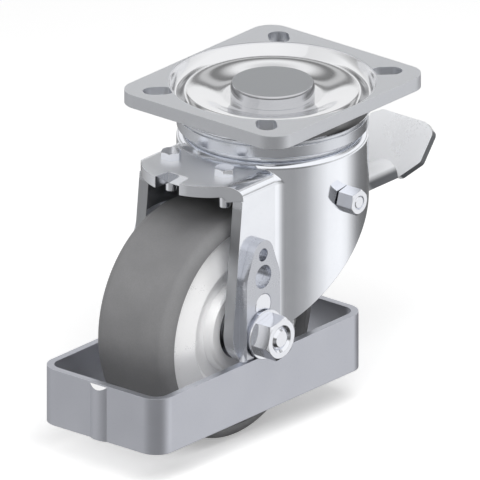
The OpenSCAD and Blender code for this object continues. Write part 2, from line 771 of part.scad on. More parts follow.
// Half space under and behind the tread's upper face
module behind_tread() {
  translate([pedal_end, 0, pedal_end_z]) rotate([0, -pedal_slope, 0]) translate([-far, -far, -2 * far]) cube(2 * far);
}
module pedal_lever() {
  neck_z = neck_top - neck_r;
  color("gainsboro") {
    difference() {
      both_sides() along_y(cheek_y, cheek_out) union() {
        translate([pivot_x, pivot_z]) circle(eye_r);
        polygon([
          [pivot_x - eye_r, pivot_z], [shoe_front, shoe_top - 6], [shoe_front + 11, shoe_top - 8],
          [cheek_end, neck_top - 3], [cheek_end, neck_top + 3], [pivot_x + 5, pivot_z + 5.6]
        ]);
      }
      on_pivot() cylinder(r = bush_r, h = 4 * cheek_out, center = true);
      tyre_space(0.8);
    }
    intersection() {
      along_y(-cheek_out, cheek_out) polygon([
        [web_start, web_top], [web_end, neck_top], [web_end, neck_top - pedal_t], [web_start, web_top - pedal_t]
      ]);
      translate([0, 0, -far]) linear_extrude(far)
        polygon([
          [0, -cheek_out], [cheek_end, -cheek_out], [web_end, -neck_half + 3],
          [web_end, neck_half - 3], [cheek_end, cheek_out], [0, cheek_out]
        ]);
    }
    difference() {
      translate([neck_start, 0, neck_z]) rotate([90, 0, 90]) linear_extrude(neck_end - neck_start) difference() {
        circle(neck_r);
        circle(neck_r - pedal_t);
        translate([-neck_r, neck_r - neck_rise - 2 * neck_r]) square(2 * neck_r);
      }
      behind_tread();
    }
    translate([pedal_end, 0, pedal_end_z]) rotate([0, -pedal_slope, 0]) translate([-tread_l, 0, -pedal_t])
      linear_extrude(pedal_t) polygon([
        [0, -tread_low_half], [tread_wide_from, -pedal_half], [tread_wide_to, -pedal_half], [tread_l, -tread_high_half],
        [tread_l, tread_high_half], [tread_wide_to, pedal_half], [tread_wide_from, pedal_half], [0, tread_low_half]
      ]);
  }
}
module pedal_bushes() {
  color("goldenrod") on_pivot() both_ends(cheek_y - 0.4, cheek_out + 0.4) tube(bush_r, pivot_r + slip, pedal_t + 0.8);
}
module brake_shoe() {
  color("dimgrey") difference() {
    translate([shoe_front, -cheek_y, shoe_top - shoe_h]) cube([shoe_l, 2 * cheek_y, shoe_h]);
    tyre_space(shoe_gap);
  }
}

top_plate();
king_pin();
king_pin_nut();
lower_race();
swivel_seal();
upper_balls();
lower_balls();
fork();
race_ring();
dust_seal();
guard_band();
guard_lug_near();
guard_lug_far();
guard_pins();
axle_bolt();
axle_nut();
axle_washers();
axle_sleeve();
hub_spacers();
distance_tube();
bearing_inner_rings();
brake_pivot_bolt();
brake_pivot_nut();
pivot_spacers();
holding_spring();
spring_screws();
tyre();
wheel_centre();
bearing_outer_rings();
bearing_balls();
bearing_seals();
pedal_lever();
pedal_bushes();
brake_shoe();
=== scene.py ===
"""Swivel castor with a foot guard and a brake pedal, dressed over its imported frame.

Shapes are drawn in millimetres in the part's own frame (origin on the swivel axis at the
mounting face, +Z up, +X towards the pedal, +Y along the axle) and scaled to metres once,
when a piece is finished.
"""

import math

import bpy
from mathutils import Matrix, Vector


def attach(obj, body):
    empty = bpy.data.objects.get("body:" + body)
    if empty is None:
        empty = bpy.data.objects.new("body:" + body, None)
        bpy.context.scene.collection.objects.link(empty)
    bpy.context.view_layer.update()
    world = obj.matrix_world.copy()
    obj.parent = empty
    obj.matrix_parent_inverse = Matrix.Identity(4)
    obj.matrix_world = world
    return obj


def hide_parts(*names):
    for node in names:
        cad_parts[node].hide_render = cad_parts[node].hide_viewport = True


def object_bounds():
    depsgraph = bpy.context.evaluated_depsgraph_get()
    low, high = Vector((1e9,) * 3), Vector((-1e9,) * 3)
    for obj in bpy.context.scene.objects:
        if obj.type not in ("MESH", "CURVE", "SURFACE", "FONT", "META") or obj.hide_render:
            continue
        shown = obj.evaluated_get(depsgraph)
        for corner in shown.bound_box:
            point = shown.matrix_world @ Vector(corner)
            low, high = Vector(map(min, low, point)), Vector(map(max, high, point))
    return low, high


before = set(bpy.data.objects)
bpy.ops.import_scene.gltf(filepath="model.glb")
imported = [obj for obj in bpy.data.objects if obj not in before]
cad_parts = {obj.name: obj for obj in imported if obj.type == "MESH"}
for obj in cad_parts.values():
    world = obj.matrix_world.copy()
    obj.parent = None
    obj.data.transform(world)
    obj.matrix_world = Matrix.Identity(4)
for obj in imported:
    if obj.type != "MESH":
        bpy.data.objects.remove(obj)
cad_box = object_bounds()
scene = bpy.context.scene

MM = 0.001

# Where cutting shapes end, past the part's front, back and sides, and inside its head
FRONT, BACK, SIDE, HEAD_INSIDE = -100, 60, 60, -5

# View of the photograph: parallel projection
AZIMUTH, ELEVATION = -50.1, 21.9
PIXELS, PIXELS_PER_MM = 480, 2.35
ORIGIN_PIXEL = (272.6, 80.7)

# Top plate, with its slots and its pressed centre
PLATE_L, PLATE_W, PLATE_T, PLATE_CORNER = 102, 90, 6, 10
SLOT_PITCH_X, SLOT_PITCH_Y, SLOT_W, SLOT_LEN = 80, 60, 9, 13.2
PRESS_R, PRESS_LAP, GROOVE_IN, GROOVE_H, CREST_H = 44.3, 0.4, 3.1, 6, 3.3
BOWL_H, BOWL_FLOOR_R = 6.5, 21
LIP_R, LIP_OUT, LIP_END = 0.5, 0.36, 161.8

# Sheet that the fork is pressed from, and the gap of a pin in its hole
SHEET, SLIP = 5.2, 0.05

# King pin
PIN_HEAD_R, PIN_HEAD_DROP, PIN_R = 18, 0.3, 10
PIN_TAPER_R, PIN_TAPER_H = 0.7, 1.6
PIN_TAIL_R, PIN_TAIL_EDGE, PIN_STEP, PIN_END = 8, 1, 1.9, 11.4

# Swivel head
UPPER_RING_R, LOWER_RING_R, BALL_R, BALL_GAP = 36.8, 24, 3, 0.06
TRACK_OPEN, TRACK_LAND, HEAD_BORE_R = 25, 1.5, 12.5
RACE_R, RACE_H, RACE_DROP, RACE_WALL, RACE_EDGE = 40.9, 5.9, 1.35, 2.2, 0.6
DUST_T, DUST_IN, DUST_EDGE, AIR = 0.8, 0.1, 0.15, 0.4
UPPER_BALL_Z = -CREST_H - PLATE_T - BALL_R - BALL_GAP
RACE_TOP = UPPER_BALL_Z - RACE_DROP
HEAD_TOP = RACE_TOP - RACE_H
HEAD_UNDER = HEAD_TOP - SHEET
LOWER_BALL_Z = HEAD_UNDER - 1.8
TRACK_R = BALL_R + BALL_GAP

# Fork: round back, legs, and the shelf with its notch and screws
FORK_R, LEG_Y, SHELF_DROP, FOLD_R, ROUND_IN = 41, 28.5, 24, 7, 2
BLEND_R, SHOULDER_TURN, HOLLOW_BITE = 8.02, 50, 0.05
SHELF_FRONT_R, SHELF_FRONT_X, SHELF_FRONT_HALF, LEG_TOP_X = 29.5, -41.3, 20, -53.5
NOTCH_MOUTH, NOTCH_BACK, NOTCH_DEPTH = 13.8, 11.3, 8.7
SCREW_X, SCREW_Y, SCREW_R, SCREW_AF, SCREW_HEAD, SCREW_LEN = -49.6, 14.9, 2.5, 8, 3.5, 14.8
SHOULDER_R, SHOULDER_TOP = 3.2, HEAD_TOP - 1.9
LEG_IN, SHELF_UNDER = LEG_Y - SHEET, -SHELF_DROP - SHEET
STEP_Z = SHELF_UNDER - 2.5

# Wheel and axle
AXLE_X, AXLE_Z, AXLE_R = -45, -93.7, 5
TYRE_R, TYRE_W, SHOULDER, SEAT_R, RIM_W = 50, 40, 5, 42.7, 32.5
CREASE_R, CREASE_W, HUB_W, BOSS_R, BEARING_R, BEARING_W = 29, 37.5, 40, 19.5, 14, 8

# Legs' low ends and the slope behind them
LEG_ROUND = 15.5
LEG_LOW = AXLE_Z - LEG_ROUND + 1.7
LEG_REAR_X, LEG_REAR_CORNER, BACK_LOW, BACK_SLOPE = -25, 8, -39, 0.828

# Foot guard, its seam and its lugs
GUARD_L, GUARD_W, GUARD_X, GUARD_TOP = 138.2, 67, -46.4, -103.4
GUARD_H, GUARD_T, GUARD_CORNER = 25.5, 3.2, 9
SEAM_W, SEAM_H, SEAM_SLOPE, SEAM_SINK = 9.3, 1.2, 1.6, 0.6
BAND_IN = GUARD_W / 2 - GUARD_T
LUG_T, LUG_W, LUG_TOP_R, LUG_PITCH, LUG_TONGUE = 4, 22, 6.5, 13, 12
LUG_HOLE_R, SMALL_HOLE_R, LUG_BEND_R, LUG_BEND, WELD = 5.2, 2.85, 14, 22, 1.4
LUG_FACE, LUG_TOP_Z = LEG_Y + LUG_T, AXLE_Z + 2 * LUG_PITCH + 10
GUARD_PIN_RIM = 0.35

# Fasteners. AF is the width across flats
AXLE_AF, AXLE_NUT_H, AXLE_HEAD_H, AXLE_TIP, WASHER_R, WASHER_T, LOCK_R = 17, 8.2, 6.4, 1.5, 10.9, 2, 9.5
PIVOT_X, PIVOT_Z, PIVOT_R = -1.4, -42.8, 3
PIVOT_AF, PIVOT_NUT_H, PIVOT_HEAD_H, PIVOT_TIP = 10, 8.2, 4, 0.6
# Gap that keeps a loose hole off the shaft in it
HOLE_GAP = 0.1
# Overlap of two shapes that are joined face to face
BITE = 0.01
# Turn of the nuts that the photo shows, in degrees
NUT_TURN = -17

# Pedal. The shoe's box is measured from the pivot
PEDAL_T, PEDAL_END, PEDAL_END_Z, PEDAL_SLOPE, PEDAL_HALF = 3, 87.7, -43, 51.85, 17.5
TREAD_L, TREAD_CORNER = 26.2, 3
CHEEK_Y, EYE_R, BUSH_R, NECK_TOP, NECK_HALF, NECK_RISE = 15, 7.5, 5.2, -59, 10, 5
NECK_START, NECK_END, CHEEK_END, PEDAL_TRAVEL = 44, 78, 36, 12
SHOE_FRONT, SHOE_BACK, SHOE_LOW, SHOE_TOP, SHOE_GAP = -5, 8, -26, -17, 0.3


# Outlines


def arc(centre, r, a0, a1, n=12):
    """Points on an arc round centre from angle a0 to a1, in degrees."""
    turn = [math.radians(a0 + (a1 - a0) * i / n) for i in range(n + 1)]
    return [(centre[0] + r * math.cos(t), centre[1] + r * math.sin(t)) for t in turn]


def circle(centre, r, n=96):
    """Points round a whole circle."""
    return arc(centre, r, 0, 360 * (n - 1) / n, n - 1)


def s_curve(p, q, n=24):
    """Points on a smooth step from p to q, flat at both ends."""
    return [(p[0] + (q[0] - p[0]) * i / n, p[1] + (q[1] - p[1]) * (1 - math.cos(math.pi * i / n)) / 2)
            for i in range(n + 1)]


def dip(p, q, n=16):
    """Points on a quarter wave that starts steep at p and ends flat at q."""
    return [(p[0] + (q[0] - p[0]) * i / n, p[1] + (q[1] - p[1]) * math.sin(math.pi / 2 * i / n))
            for i in range(n + 1)]


def rounded_rect(length, width, r, n, at=(0, 0)):
    """Rectangle round at, with corners of radius r."""
    points = []
    for k, (sx, sy) in enumerate([(1, 1), (-1, 1), (-1, -1), (1, -1)]):
        centre = (at[0] + sx * (length / 2 - r), at[1] + sy * (width / 2 - r))
        points += arc(centre, r, 90 * k, 90 * k + 90, n)
    return points


def softened(points, r, n=8):
    """The outline with each corner rounded to radius r."""
    out = []
    for before, p, after in zip(points[-1:] + points[:-1], points, points[1:] + points[:1]):
        a, b = (Vector(q) - Vector(p) for q in (before, after))
        half = a.angle(b) / 2
        back = min(r / math.tan(half), a.length * 0.45, b.length * 0.45)
        radius = back * math.tan(half)
        middle = (a.normalized() + b.normalized()).normalized() * (radius / math.sin(half))
        start, end = (v.normalized() * back - middle for v in (a, b))
        sweep = start.angle_signed(end)
        for i in range(n + 1):
            spoke = Matrix.Rotation(-sweep * i / n, 2) @ start
            out.append(tuple(Vector(p) + middle + spoke))
    return out


def turned(p, degrees):
    """A point (x, z) turned about the Y axis."""
    a = math.radians(degrees)
    return (p[0] * math.cos(a) + p[1] * math.sin(a), -p[0] * math.sin(a) + p[1] * math.cos(a))


def clean(points):
    """The outline without points that repeat."""
    out = []
    for p in points:
        if not out or math.dist(p, out[-1]) > 1e-5:
            out.append(p)
    if math.dist(out[0], out[-1]) < 1e-5:
        out.pop()
    return out


# Solids


def solid(verts, faces):
    """Object with a mesh of these corners and faces."""
    mesh = bpy.data.meshes.new("solid")
    mesh.from_pydata(verts, [], faces)
    mesh.validate()
    obj = bpy.data.objects.new("solid", mesh)
    scene.collection.objects.link(obj)
    return obj


def prism(outline, low, high, axis="z"):
    """Outline run from low to high along the axis.

    It is drawn in X and Y, in X and Z for axis y, or in Y and Z for axis x.
    """
    outline = clean(outline)
    place = {
        "x": lambda a, b, h: (h, a, b),
        "y": lambda a, b, h: (a, h, b),
        "z": lambda a, b, h: (a, b, h),
    }[axis]
    area = sum(p[0] * q[1] - q[0] * p[1] for p, q in zip(outline, outline[1:] + outline[:1]))
    if (area < 0) != (axis == "y"):
        outline = outline[::-1]
    n = len(outline)
    verts = [place(*p, low) for p in outline] + [place(*p, high) for p in outline]
    sides = [(i, (i + 1) % n, n + (i + 1) % n, n + i) for i in range(n)]
    return solid(verts, [tuple(range(n))[::-1], tuple(range(n, 2 * n)), *sides])


def lathe(profile, steps=144):
    """Closed outline of points (r, z) turned about the Z axis."""
    profile = clean(profile)
    area = sum(p[0] * q[1] - q[0] * p[1] for p, q in zip(profile, profile[1:] + profile[:1]))
    if area < 0:
        profile = profile[::-1]
    verts, rings = [], []
    for r, z in profile:
        if r < 1e-6:
            rings.append([len(verts)] * steps)
            verts.append((0, 0, z))
        else:
            rings.append(list(range(len(verts), len(verts) + steps)))
            verts += [(r * math.cos(2 * math.pi * i / steps), r * math.sin(2 * math.pi * i / steps), z)
                      for i in range(steps)]
    faces = []
    for a, b in zip(rings, rings[1:] + rings[:1]):
        for i in range(steps):
            j = (i + 1) % steps
            face = []
            for v in (a[i], a[j], b[j], b[i]):
                if v not in face:
                    face.append(v)
            if len(face) > 2:
                faces.append(face)
    return solid(verts, faces)


def loft(layers):
    """Solid through outlines that run clockwise in X and Y, each given with its height, lowest first."""
    n = len(layers[0][0])
    verts = [(x, y, z) for outline, z in layers for x, y in outline]
    faces = [tuple(range(n)), tuple(range(len(verts) - n, len(verts)))[::-1]]
    for start in range(0, len(verts) - n, n):
        faces += [(start + (i + 1) % n, start + i, start + n + i, start + n + (i + 1) % n) for i in range(n)]
    return solid(verts, faces)


def cylinder(r, low, high, steps=96):
    """Cylinder on the Z axis."""
    return lathe([(0, low), (r, low), (r, high), (0, high)], steps)


def tube(r_out, r_in, low, high, edge, steps=96):
    """Tube on the Z axis with its two outer rims turned off by edge."""
    return lathe([(r_in, low), (r_out - edge, low), (r_out, low + edge), (r_out, high - edge),
                  (r_out - edge, high), (r_in, high)], steps)


def hexagon(af, h, top=True, bottom=False):
    """Hexagon prism from z = 0 to h with its corners turned off at the ends that are named."""
    corner = af / math.sqrt(3)
    wide, turned_off = corner + 1, corner - af / 2 + 1
    low_cut = turned_off if bottom else 0
    top_cut = turned_off if top else 0
    corners = [math.radians(60 * i + 30) for i in range(6)]
    sides = prism([(corner * math.cos(a), corner * math.sin(a)) for a in corners], 0, h)
    blank = lathe([(0, 0), (wide - low_cut, 0), (wide, low_cut / 2), (wide, h - top_cut / 2),
                   (wide - top_cut, h), (0, h)], 96)
    return common(sides, blank)


def move(obj, matrix):
    """The object with its mesh moved, and its faces still outward if the matrix mirrors."""
    obj.data.transform(matrix)
    if matrix.determinant() < 0:
        obj.data.flip_normals()
    return obj


def shift(x, y, z):
    """Matrix that moves by x, y and z."""
    return Matrix.Translation((x, y, z))


ON_AXLE = shift(AXLE_X, 0, AXLE_Z) @ Matrix.Rotation(math.pi / 2, 4, "X")
ON_PIVOT = shift(PIVOT_X, 0, PIVOT_Z) @ Matrix.Rotation(math.pi / 2, 4, "X")
OTHER_SIDE = Matrix.Scale(-1, 4, (0, 1, 0))


def boolean(kind, obj, tools):
    """The object joined with, cut by or kept inside each of the tools, which are used up."""
    for tool in tools:
        modifier = obj.modifiers.new("boolean", "BOOLEAN")
        modifier.operation, modifier.object, modifier.solver = kind, tool, "MANIFOLD"
    result = bpy.data.meshes.new_from_object(obj.evaluated_get(bpy.context.evaluated_depsgraph_get()))
    obj.modifiers.clear()
    obj.data = result
    for tool in tools:
        bpy.data.objects.remove(tool)
    return obj


def cut(obj, *tools):
    """The object less its tools."""
    return boolean("DIFFERENCE", obj, tools)


def join(obj, *tools):
    """The object and its tools in one."""
    return boolean("UNION", obj, tools)


def common(obj, *tools):
    """What the object shares with all its tools."""
    return boolean("INTERSECT", obj, tools)


def loose(*objs):
    """One object that holds several separate solids."""
    verts, faces = [], []
    for obj in objs:
        start = len(verts)
        verts += [tuple(v.co) for v in obj.data.vertices]
        faces += [tuple(start + i for i in p.vertices) for p in obj.data.polygons]
        bpy.data.objects.remove(obj)
    return solid(verts, faces)


def twin(obj, matrix):
    """Moved copy of an object."""
    verts = [tuple(v.co) for v in obj.data.vertices]
    return move(solid(verts, [tuple(p.vertices) for p in obj.data.polygons]), matrix)


def finished(obj, name, body, node, material, angle=30):
    """Scales a piece to metres, smooths it, and puts it on its body in place of its CAD node.

    Edges sharper than the angle, in degrees, stay sharp.
    """
    obj.name = obj.data.name = name
    obj.data.transform(Matrix.Scale(MM, 4))
    obj.data.polygons.foreach_set("use_smooth", [True] * len(obj.data.polygons))
    obj.data.set_sharp_from_angle(angle=math.radians(angle))
    obj.data.materials.clear()
    obj.data.materials.append(material)
    normals = obj.modifiers.new("normals", "WEIGHTED_NORMAL")
    normals.keep_sharp = True
    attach(obj, body)
    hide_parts(node)


# Materials


class Nodes:
    """Short names for adding and linking shader nodes."""

    def __init__(self, tree):
        self.tree = tree
        tree.nodes.clear()

    def surface(self):
        """Starts a surface material with one shader, and keeps the place and direction of its points."""
        coordinates = self.add("ShaderNodeTexCoord")
        self.place, self.facing = coordinates.outputs["Object"], coordinates.outputs["Normal"]
        self.shader = self.add("ShaderNodeBsdfPrincipled")
        self.link(self.shader.outputs[0], self.add("ShaderNodeOutputMaterial").inputs[0])
        return self

    def add(self, kind, **values):
        """New node with these properties set."""
        node = self.tree.nodes.new(kind)
        for key, value in values.items():
            setattr(node, key, value)
        return node

    def link(self, source, target):
        """Links an output to an input."""
        self.tree.links.new(source, target)

    def fill(self, sockets, values):
        """Links each value that is a socket, and sets each that is a number."""
        for socket, value in zip(sockets, values):
            if isinstance(value, bpy.types.NodeSocket):
                self.link(value, socket)
            else:
                socket.default_value = value

    def noise(self, scale, detail, rough):
        """Noise with a feature size of about 1/scale metres."""
        node = self.add("ShaderNodeTexNoise")
        node.inputs["Scale"].default_value = scale
        node.inputs["Detail"].default_value = detail
        node.inputs["Roughness"].default_value = rough
        self.link(self.place, node.inputs["Vector"])
        return node.outputs[0]

    def parts(self, vector):
        """X, Y and Z of a vector."""
        node = self.add("ShaderNodeSeparateXYZ")
        self.link(vector, node.inputs[0])
        return node.outputs[0], node.outputs[1], node.outputs[2]

    def ramp(self, value, low, high, a, b):
        """Maps a value from the range low to high onto the range a to b."""
        node = self.add("ShaderNodeMapRange")
        for key, number in zip(("From Min", "From Max", "To Min", "To Max"), (low, high, a, b)):
            node.inputs[key].default_value = number
        self.link(value, node.inputs["Value"])
        return node.outputs[0]

    def mix(self, factor, a, b):
        """Colour from a to b by a factor socket, each a colour or a socket."""
        node = self.add("ShaderNodeMix", data_type="RGBA")
        self.fill((node.inputs[0], node.inputs[6], node.inputs[7]),
                  [factor] + [(*c, 1) if isinstance(c, tuple) else c for c in (a, b)])
        return node.outputs[2]

    def math(self, kind, a, b):
        """Result of one sum, each side a number or a socket."""
        node = self.add("ShaderNodeMath", operation=kind)
        self.fill(node.inputs, (a, b))
        return node.outputs[0]

    def level_curve(self, value, stops):
        """Grey level that runs through (position, level) stops, with levels up to 2."""
        node = self.add("ShaderNodeValToRGB")
        ramp = node.color_ramp
        while len(ramp.elements) < len(stops):
            ramp.elements.new(0.5)
        for element, (position, level) in zip(ramp.elements, stops):
            element.position, element.color = position, (level / 2, level / 2, level / 2, 1)
        self.link(value, node.inputs[0])
        return self.math("MULTIPLY", node.outputs[0], 2.0)

    def blend_levels(self, factor, a, b):
        """Number from a to b, each a number or a socket."""
        node = self.add("ShaderNodeMix")
        self.fill(node.inputs, (factor,))
        self.fill((node.inputs[2], node.inputs[3]), (a, b))
        return node.outputs[0]

    def seen_rays(self):
        """1 for rays that show the background: from the camera, mirrored or passed through."""
        rays = self.add("ShaderNodeLightPath")
        mirrored = self.math("MAXIMUM", rays.outputs["Is Camera Ray"], rays.outputs["Is Glossy Ray"])
        return self.math("MAXIMUM", mirrored, rays.outputs["Is Transmission Ray"])

    def bump(self, height, strength, distance, normal):
        """Normal roughened by a height."""
        node = self.add("ShaderNodeBump")
        node.inputs["Strength"].default_value = strength
        node.inputs["Distance"].default_value = distance
        self.link(height, node.inputs["Height"])
        self.link(normal, node.inputs["Normal"])
        return node.outputs[0]

    def soft_edges(self, radius):
        """Normal with its edges rounded to a radius in metres."""
        node = self.add("ShaderNodeBevel", samples=6)
        node.inputs["Radius"].default_value = radius
        return node.outputs[0]

    def edge_mask(self, rounded):
        """1 along worn outer edges, 0 on faces."""
        geometry = self.add("ShaderNodeNewGeometry")
        dot = self.add("ShaderNodeVectorMath", operation="DOT_PRODUCT")
        self.link(geometry.outputs["Normal"], dot.inputs[0])
        self.link(rounded, dot.inputs[1])
        return self.ramp(dot.outputs["Value"], 1.0, 0.86, 0.0, 1.0)


def new_material(name):
    """Material for a slot of the record, with its nodes."""
    material = bpy.data.materials.new(name)
    material.use_nodes = True
    material["record_slot"] = name
    return material, Nodes(material.node_tree).surface()


def pressed_area(n):
    """1 inside the plate's pressed centre, 0 on its flat rim."""
    x, y, _ = n.parts(n.place)
    radius = n.math("SQRT", n.math("ADD", n.math("POWER", x, 2.0), n.math("POWER", y, 2.0)), 0.0)
    return n.ramp(radius, (PRESS_R - 0.3) * MM, (PRESS_R + 0.1) * MM, 1.0, 0.0)


def flat_end(n):
    """1 on the king pin's faced top, 0 below it."""
    return n.ramp(n.parts(n.place)[2], (-PIN_HEAD_DROP - 0.12) * MM, (-PIN_HEAD_DROP - 0.04) * MM, 0.0, 1.0)


def level_face_painted_light_and_gloss(n):
    """1 on faces that lie level, 0 on upright and hollow ones. On the plate it paints the level faces
    lighter, as painted light from above; on the fork it mainly makes them rougher.
    """
    return n.ramp(n.parts(n.facing)[2], 0.93, 0.99, 0.0, 1.0)


def painted_shade_leg_front(n):
    """1 on the legs' front edges below the shelf, which get a painted shade: a dark grey in place of the
    zinc.
    """
    ahead = n.ramp(n.parts(n.facing)[0], -0.95, -0.85, 1.0, 0.0)
    below = n.ramp(n.parts(n.place)[2], (STEP_Z - 4.3) * MM, (STEP_Z - 2.3) * MM, 1.0, 0.0)
    return n.math("MULTIPLY", ahead, below)


def painted_shade_tread_edge(n):
    """1 on the sides of the tread and the neck, which get a painted shade: nearly black."""
    side = n.ramp(n.math("ABSOLUTE", n.parts(n.facing)[1], 0.0), 0.45, 0.65, 0.0, 1.0)
    behind = n.ramp(n.parts(n.place)[0], (NECK_START + 1) * MM, (NECK_START + 11) * MM, 0.0, 1.0)
    return n.math("MULTIPLY", side, behind)


def painted_highlight_seam_top(n):
    """1 on the sloped top of the guard's weld seam, which gets a painted highlight: near white and glossy."""
    up = n.parts(n.facing)[2]
    return n.math("MULTIPLY", n.ramp(up, 0.2, 0.3, 0.0, 1.0), n.ramp(up, 0.8, 0.9, 1.0, 0.0))


# Feature scales of the metal's clouds, spots and grain, and the rounding of its edges in metres
CLOUD_SCALE, SPOT_SCALE, GRAIN_SCALE, METAL_EDGE = 55, 900, 2600, 0.0003
# The same for the rubber's dust, skin and edges
DUST_SCALE, PEBBLE_SCALE, RUBBER_EDGE = 40, 1500, 0.0004


def plated_steel(name, colour, rough, grain=0.25, cloud=0.06, areas=(), metallic=1.0):
    """Zinc plated steel: faint clouds in tone and gloss, a fine grain, and edges worn brighter.

    areas holds (mask, colour, rough) for each area that is finished in another way, and for each area whose
    colour holds painted light or shade.
    """
    material, n = new_material(name)
    dark = tuple(c * (1 - cloud) for c in colour)
    light = tuple(min(c * (1 + cloud), 1) for c in colour)
    spotted = tuple(c * 0.85 for c in colour)
    polished = tuple(min(1, c * 1.25 + 0.05) for c in colour)
    clouds = n.noise(CLOUD_SCALE, 5, 0.6)
    spots = n.noise(SPOT_SCALE, 2, 0.5)
    grainy = n.noise(GRAIN_SCALE, 3, 0.6)
    rounded = n.soft_edges(METAL_EDGE)
    worn = n.edge_mask(rounded)
    tone = n.mix(n.ramp(clouds, 0.38, 0.62, 0, 1), dark, light)
    tone = n.mix(n.ramp(spots, 0.62, 0.72, 0, 0.2), tone, spotted)
    tone = n.mix(n.math("MULTIPLY", worn, 0.5), tone, polished)
    gloss = n.math("ADD", n.ramp(clouds, 0.35, 0.65, rough * 0.88, rough * 1.12),
                   n.ramp(grainy, 0.3, 0.7, -0.02, 0.02))
    # Areas can paint light or shade into the tone: painted light on level faces, painted shade on edges, a
    # painted highlight on the seam.
    for mask, area_colour, area_rough in areas:
        inside = mask(n)
        tone = n.mix(inside, tone, area_colour)
        gloss = n.blend_levels(inside, gloss, area_rough)
    n.link(tone, n.shader.inputs["Base Color"])
    n.shader.inputs["Metallic"].default_value = metallic
    n.link(gloss, n.shader.inputs["Roughness"])
    n.link(n.bump(grainy, grain, 0.00003, rounded), n.shader.inputs["Normal"])
    return material


def rubber(name, colour, rough, bump=0.3, dust=0.12):
    """Matt rubber with a fine pebbled skin and a little dust in patches."""
    material, n = new_material(name)
    dusty = tuple(c + (0.45 - c) * dust for c in colour)
    pitted = tuple(c * 0.75 for c in colour)
    patches = n.noise(DUST_SCALE, 5, 0.6)
    pebble = n.noise(PEBBLE_SCALE, 3, 0.6)
    rounded = n.soft_edges(RUBBER_EDGE)
    tone = n.mix(n.ramp(patches, 0.4, 0.65, 0, 1), colour, dusty)
    tone = n.mix(n.ramp(pebble, 0.35, 0.7, 0.25, 0), tone, pitted)
    n.link(tone, n.shader.inputs["Base Color"])
    n.link(n.ramp(patches, 0.35, 0.65, rough, min(1, rough + 0.12)), n.shader.inputs["Roughness"])
    n.shader.inputs["Specular IOR Level"].default_value = 0.4
    n.link(n.bump(pebble, bump, 0.00006, rounded), n.shader.inputs["Normal"])
    return material


# The plate's level faces are painted a lighter grey: painted light from above.
PLATE = plated_steel("plate_zinc", (0.735, 0.75, 0.785), 0.42, cloud=0.03, areas=[
    (level_face_painted_light_and_gloss, (0.82, 0.835, 0.865), 0.42), (pressed_area, (0.86, 0.865, 0.88), 0.07)])
# The legs' front edges below the shelf are painted dark grey: painted shade.
BRIGHT = plated_steel("bright_zinc", (0.915, 0.935, 0.985), 0.12, grain=0.08, cloud=0.02, areas=[
    (level_face_painted_light_and_gloss, (0.93, 0.94, 0.96), 0.5), (painted_shade_leg_front, (0.50, 0.51, 0.53), 0.35)])
BAND = plated_steel("bright_zinc", (0.71, 0.73, 0.775), 0.2, grain=0.1, cloud=0.02)
# The weld seam's sloped top is painted near white: a painted highlight.
GUARD = plated_steel("guard_zinc", (0.655, 0.67, 0.73), 0.38, cloud=0.02, areas=[
    (painted_highlight_seam_top, (0.95, 0.95, 0.96), 0.15)])
LUG = plated_steel("lug_zinc", (0.64, 0.655, 0.70), 0.30, cloud=0.03)
# The sides of the tread and the neck are painted nearly black: painted shade.
PEDAL = plated_steel("pedal_zinc", (0.95, 0.96, 0.98), 0.30, cloud=0.015, metallic=0.2, areas=[
    (painted_shade_tread_edge, (0.12, 0.125, 0.135), 0.4)])
FASTENER = plated_steel("fastener_zinc", (0.90, 0.915, 0.96), 0.14, grain=0.1, cloud=0.02)
PIN = plated_steel("fastener_zinc", (0.62, 0.625, 0.645), 0.10, grain=0.1, cloud=0.02, areas=[
    (flat_end, (0.47, 0.485, 0.505), 0.35)])
BEARING = plated_steel("bearing_steel", (0.6, 0.6, 0.61), 0.2, grain=0.1, cloud=0.02)
DARK = plated_steel("dark_steel", (0.3, 0.3, 0.31), 0.38)
WHEEL = plated_steel("wheel_metal", (0.96, 0.96, 0.965), 0.3, grain=0.12, cloud=0.015, metallic=0.25)
BRONZE = plated_steel("bush_bronze", (0.55, 0.38, 0.16), 0.4)
TYRE = rubber("tyre_grey", (0.20, 0.20, 0.205), 0.42)
SEAL = rubber("seal_black", (0.03, 0.03, 0.03), 0.55, dust=0.05)
LINING = rubber("shoe_lining", (0.08, 0.08, 0.08), 0.8, bump=0.6)


# Plate


def plate_centre():
    """Pressed centre of the plate: groove, crest with the balls' track under it, and bowl."""
    groove_r = PRESS_R - GROOVE_IN
    lip = arc((PRESS_R + LIP_OUT, -LIP_R), LIP_R, 90, LIP_END, 6)
    top = ([(PRESS_R + PRESS_LAP, 0)] + lip + dip((PRESS_R, 0), (groove_r, -GROOVE_H))[2:]
           + s_curve((groove_r, -GROOVE_H), (UPPER_RING_R, -CREST_H))
           + s_curve((UPPER_RING_R, -CREST_H), (BOWL_FLOOR_R, -BOWL_H), 36) + [(PIN_R + SLIP, -BOWL_H)])
    track = arc((UPPER_RING_R, UPPER_BALL_Z), TRACK_R, 180 - TRACK_OPEN, TRACK_OPEN, 20)
    under = ([(PIN_R + SLIP, -BOWL_H - PLATE_T), (BOWL_FLOOR_R, -BOWL_H - PLATE_T),
              (track[0][0] - TRACK_LAND, track[0][1])]
             + track + dip((PRESS_R, -PLATE_T), (groove_r, -GROOVE_H - PLATE_T))[::-1]
             + [(PRESS_R + PRESS_LAP, -PLATE_T)])
    return lathe(top + under, 240)


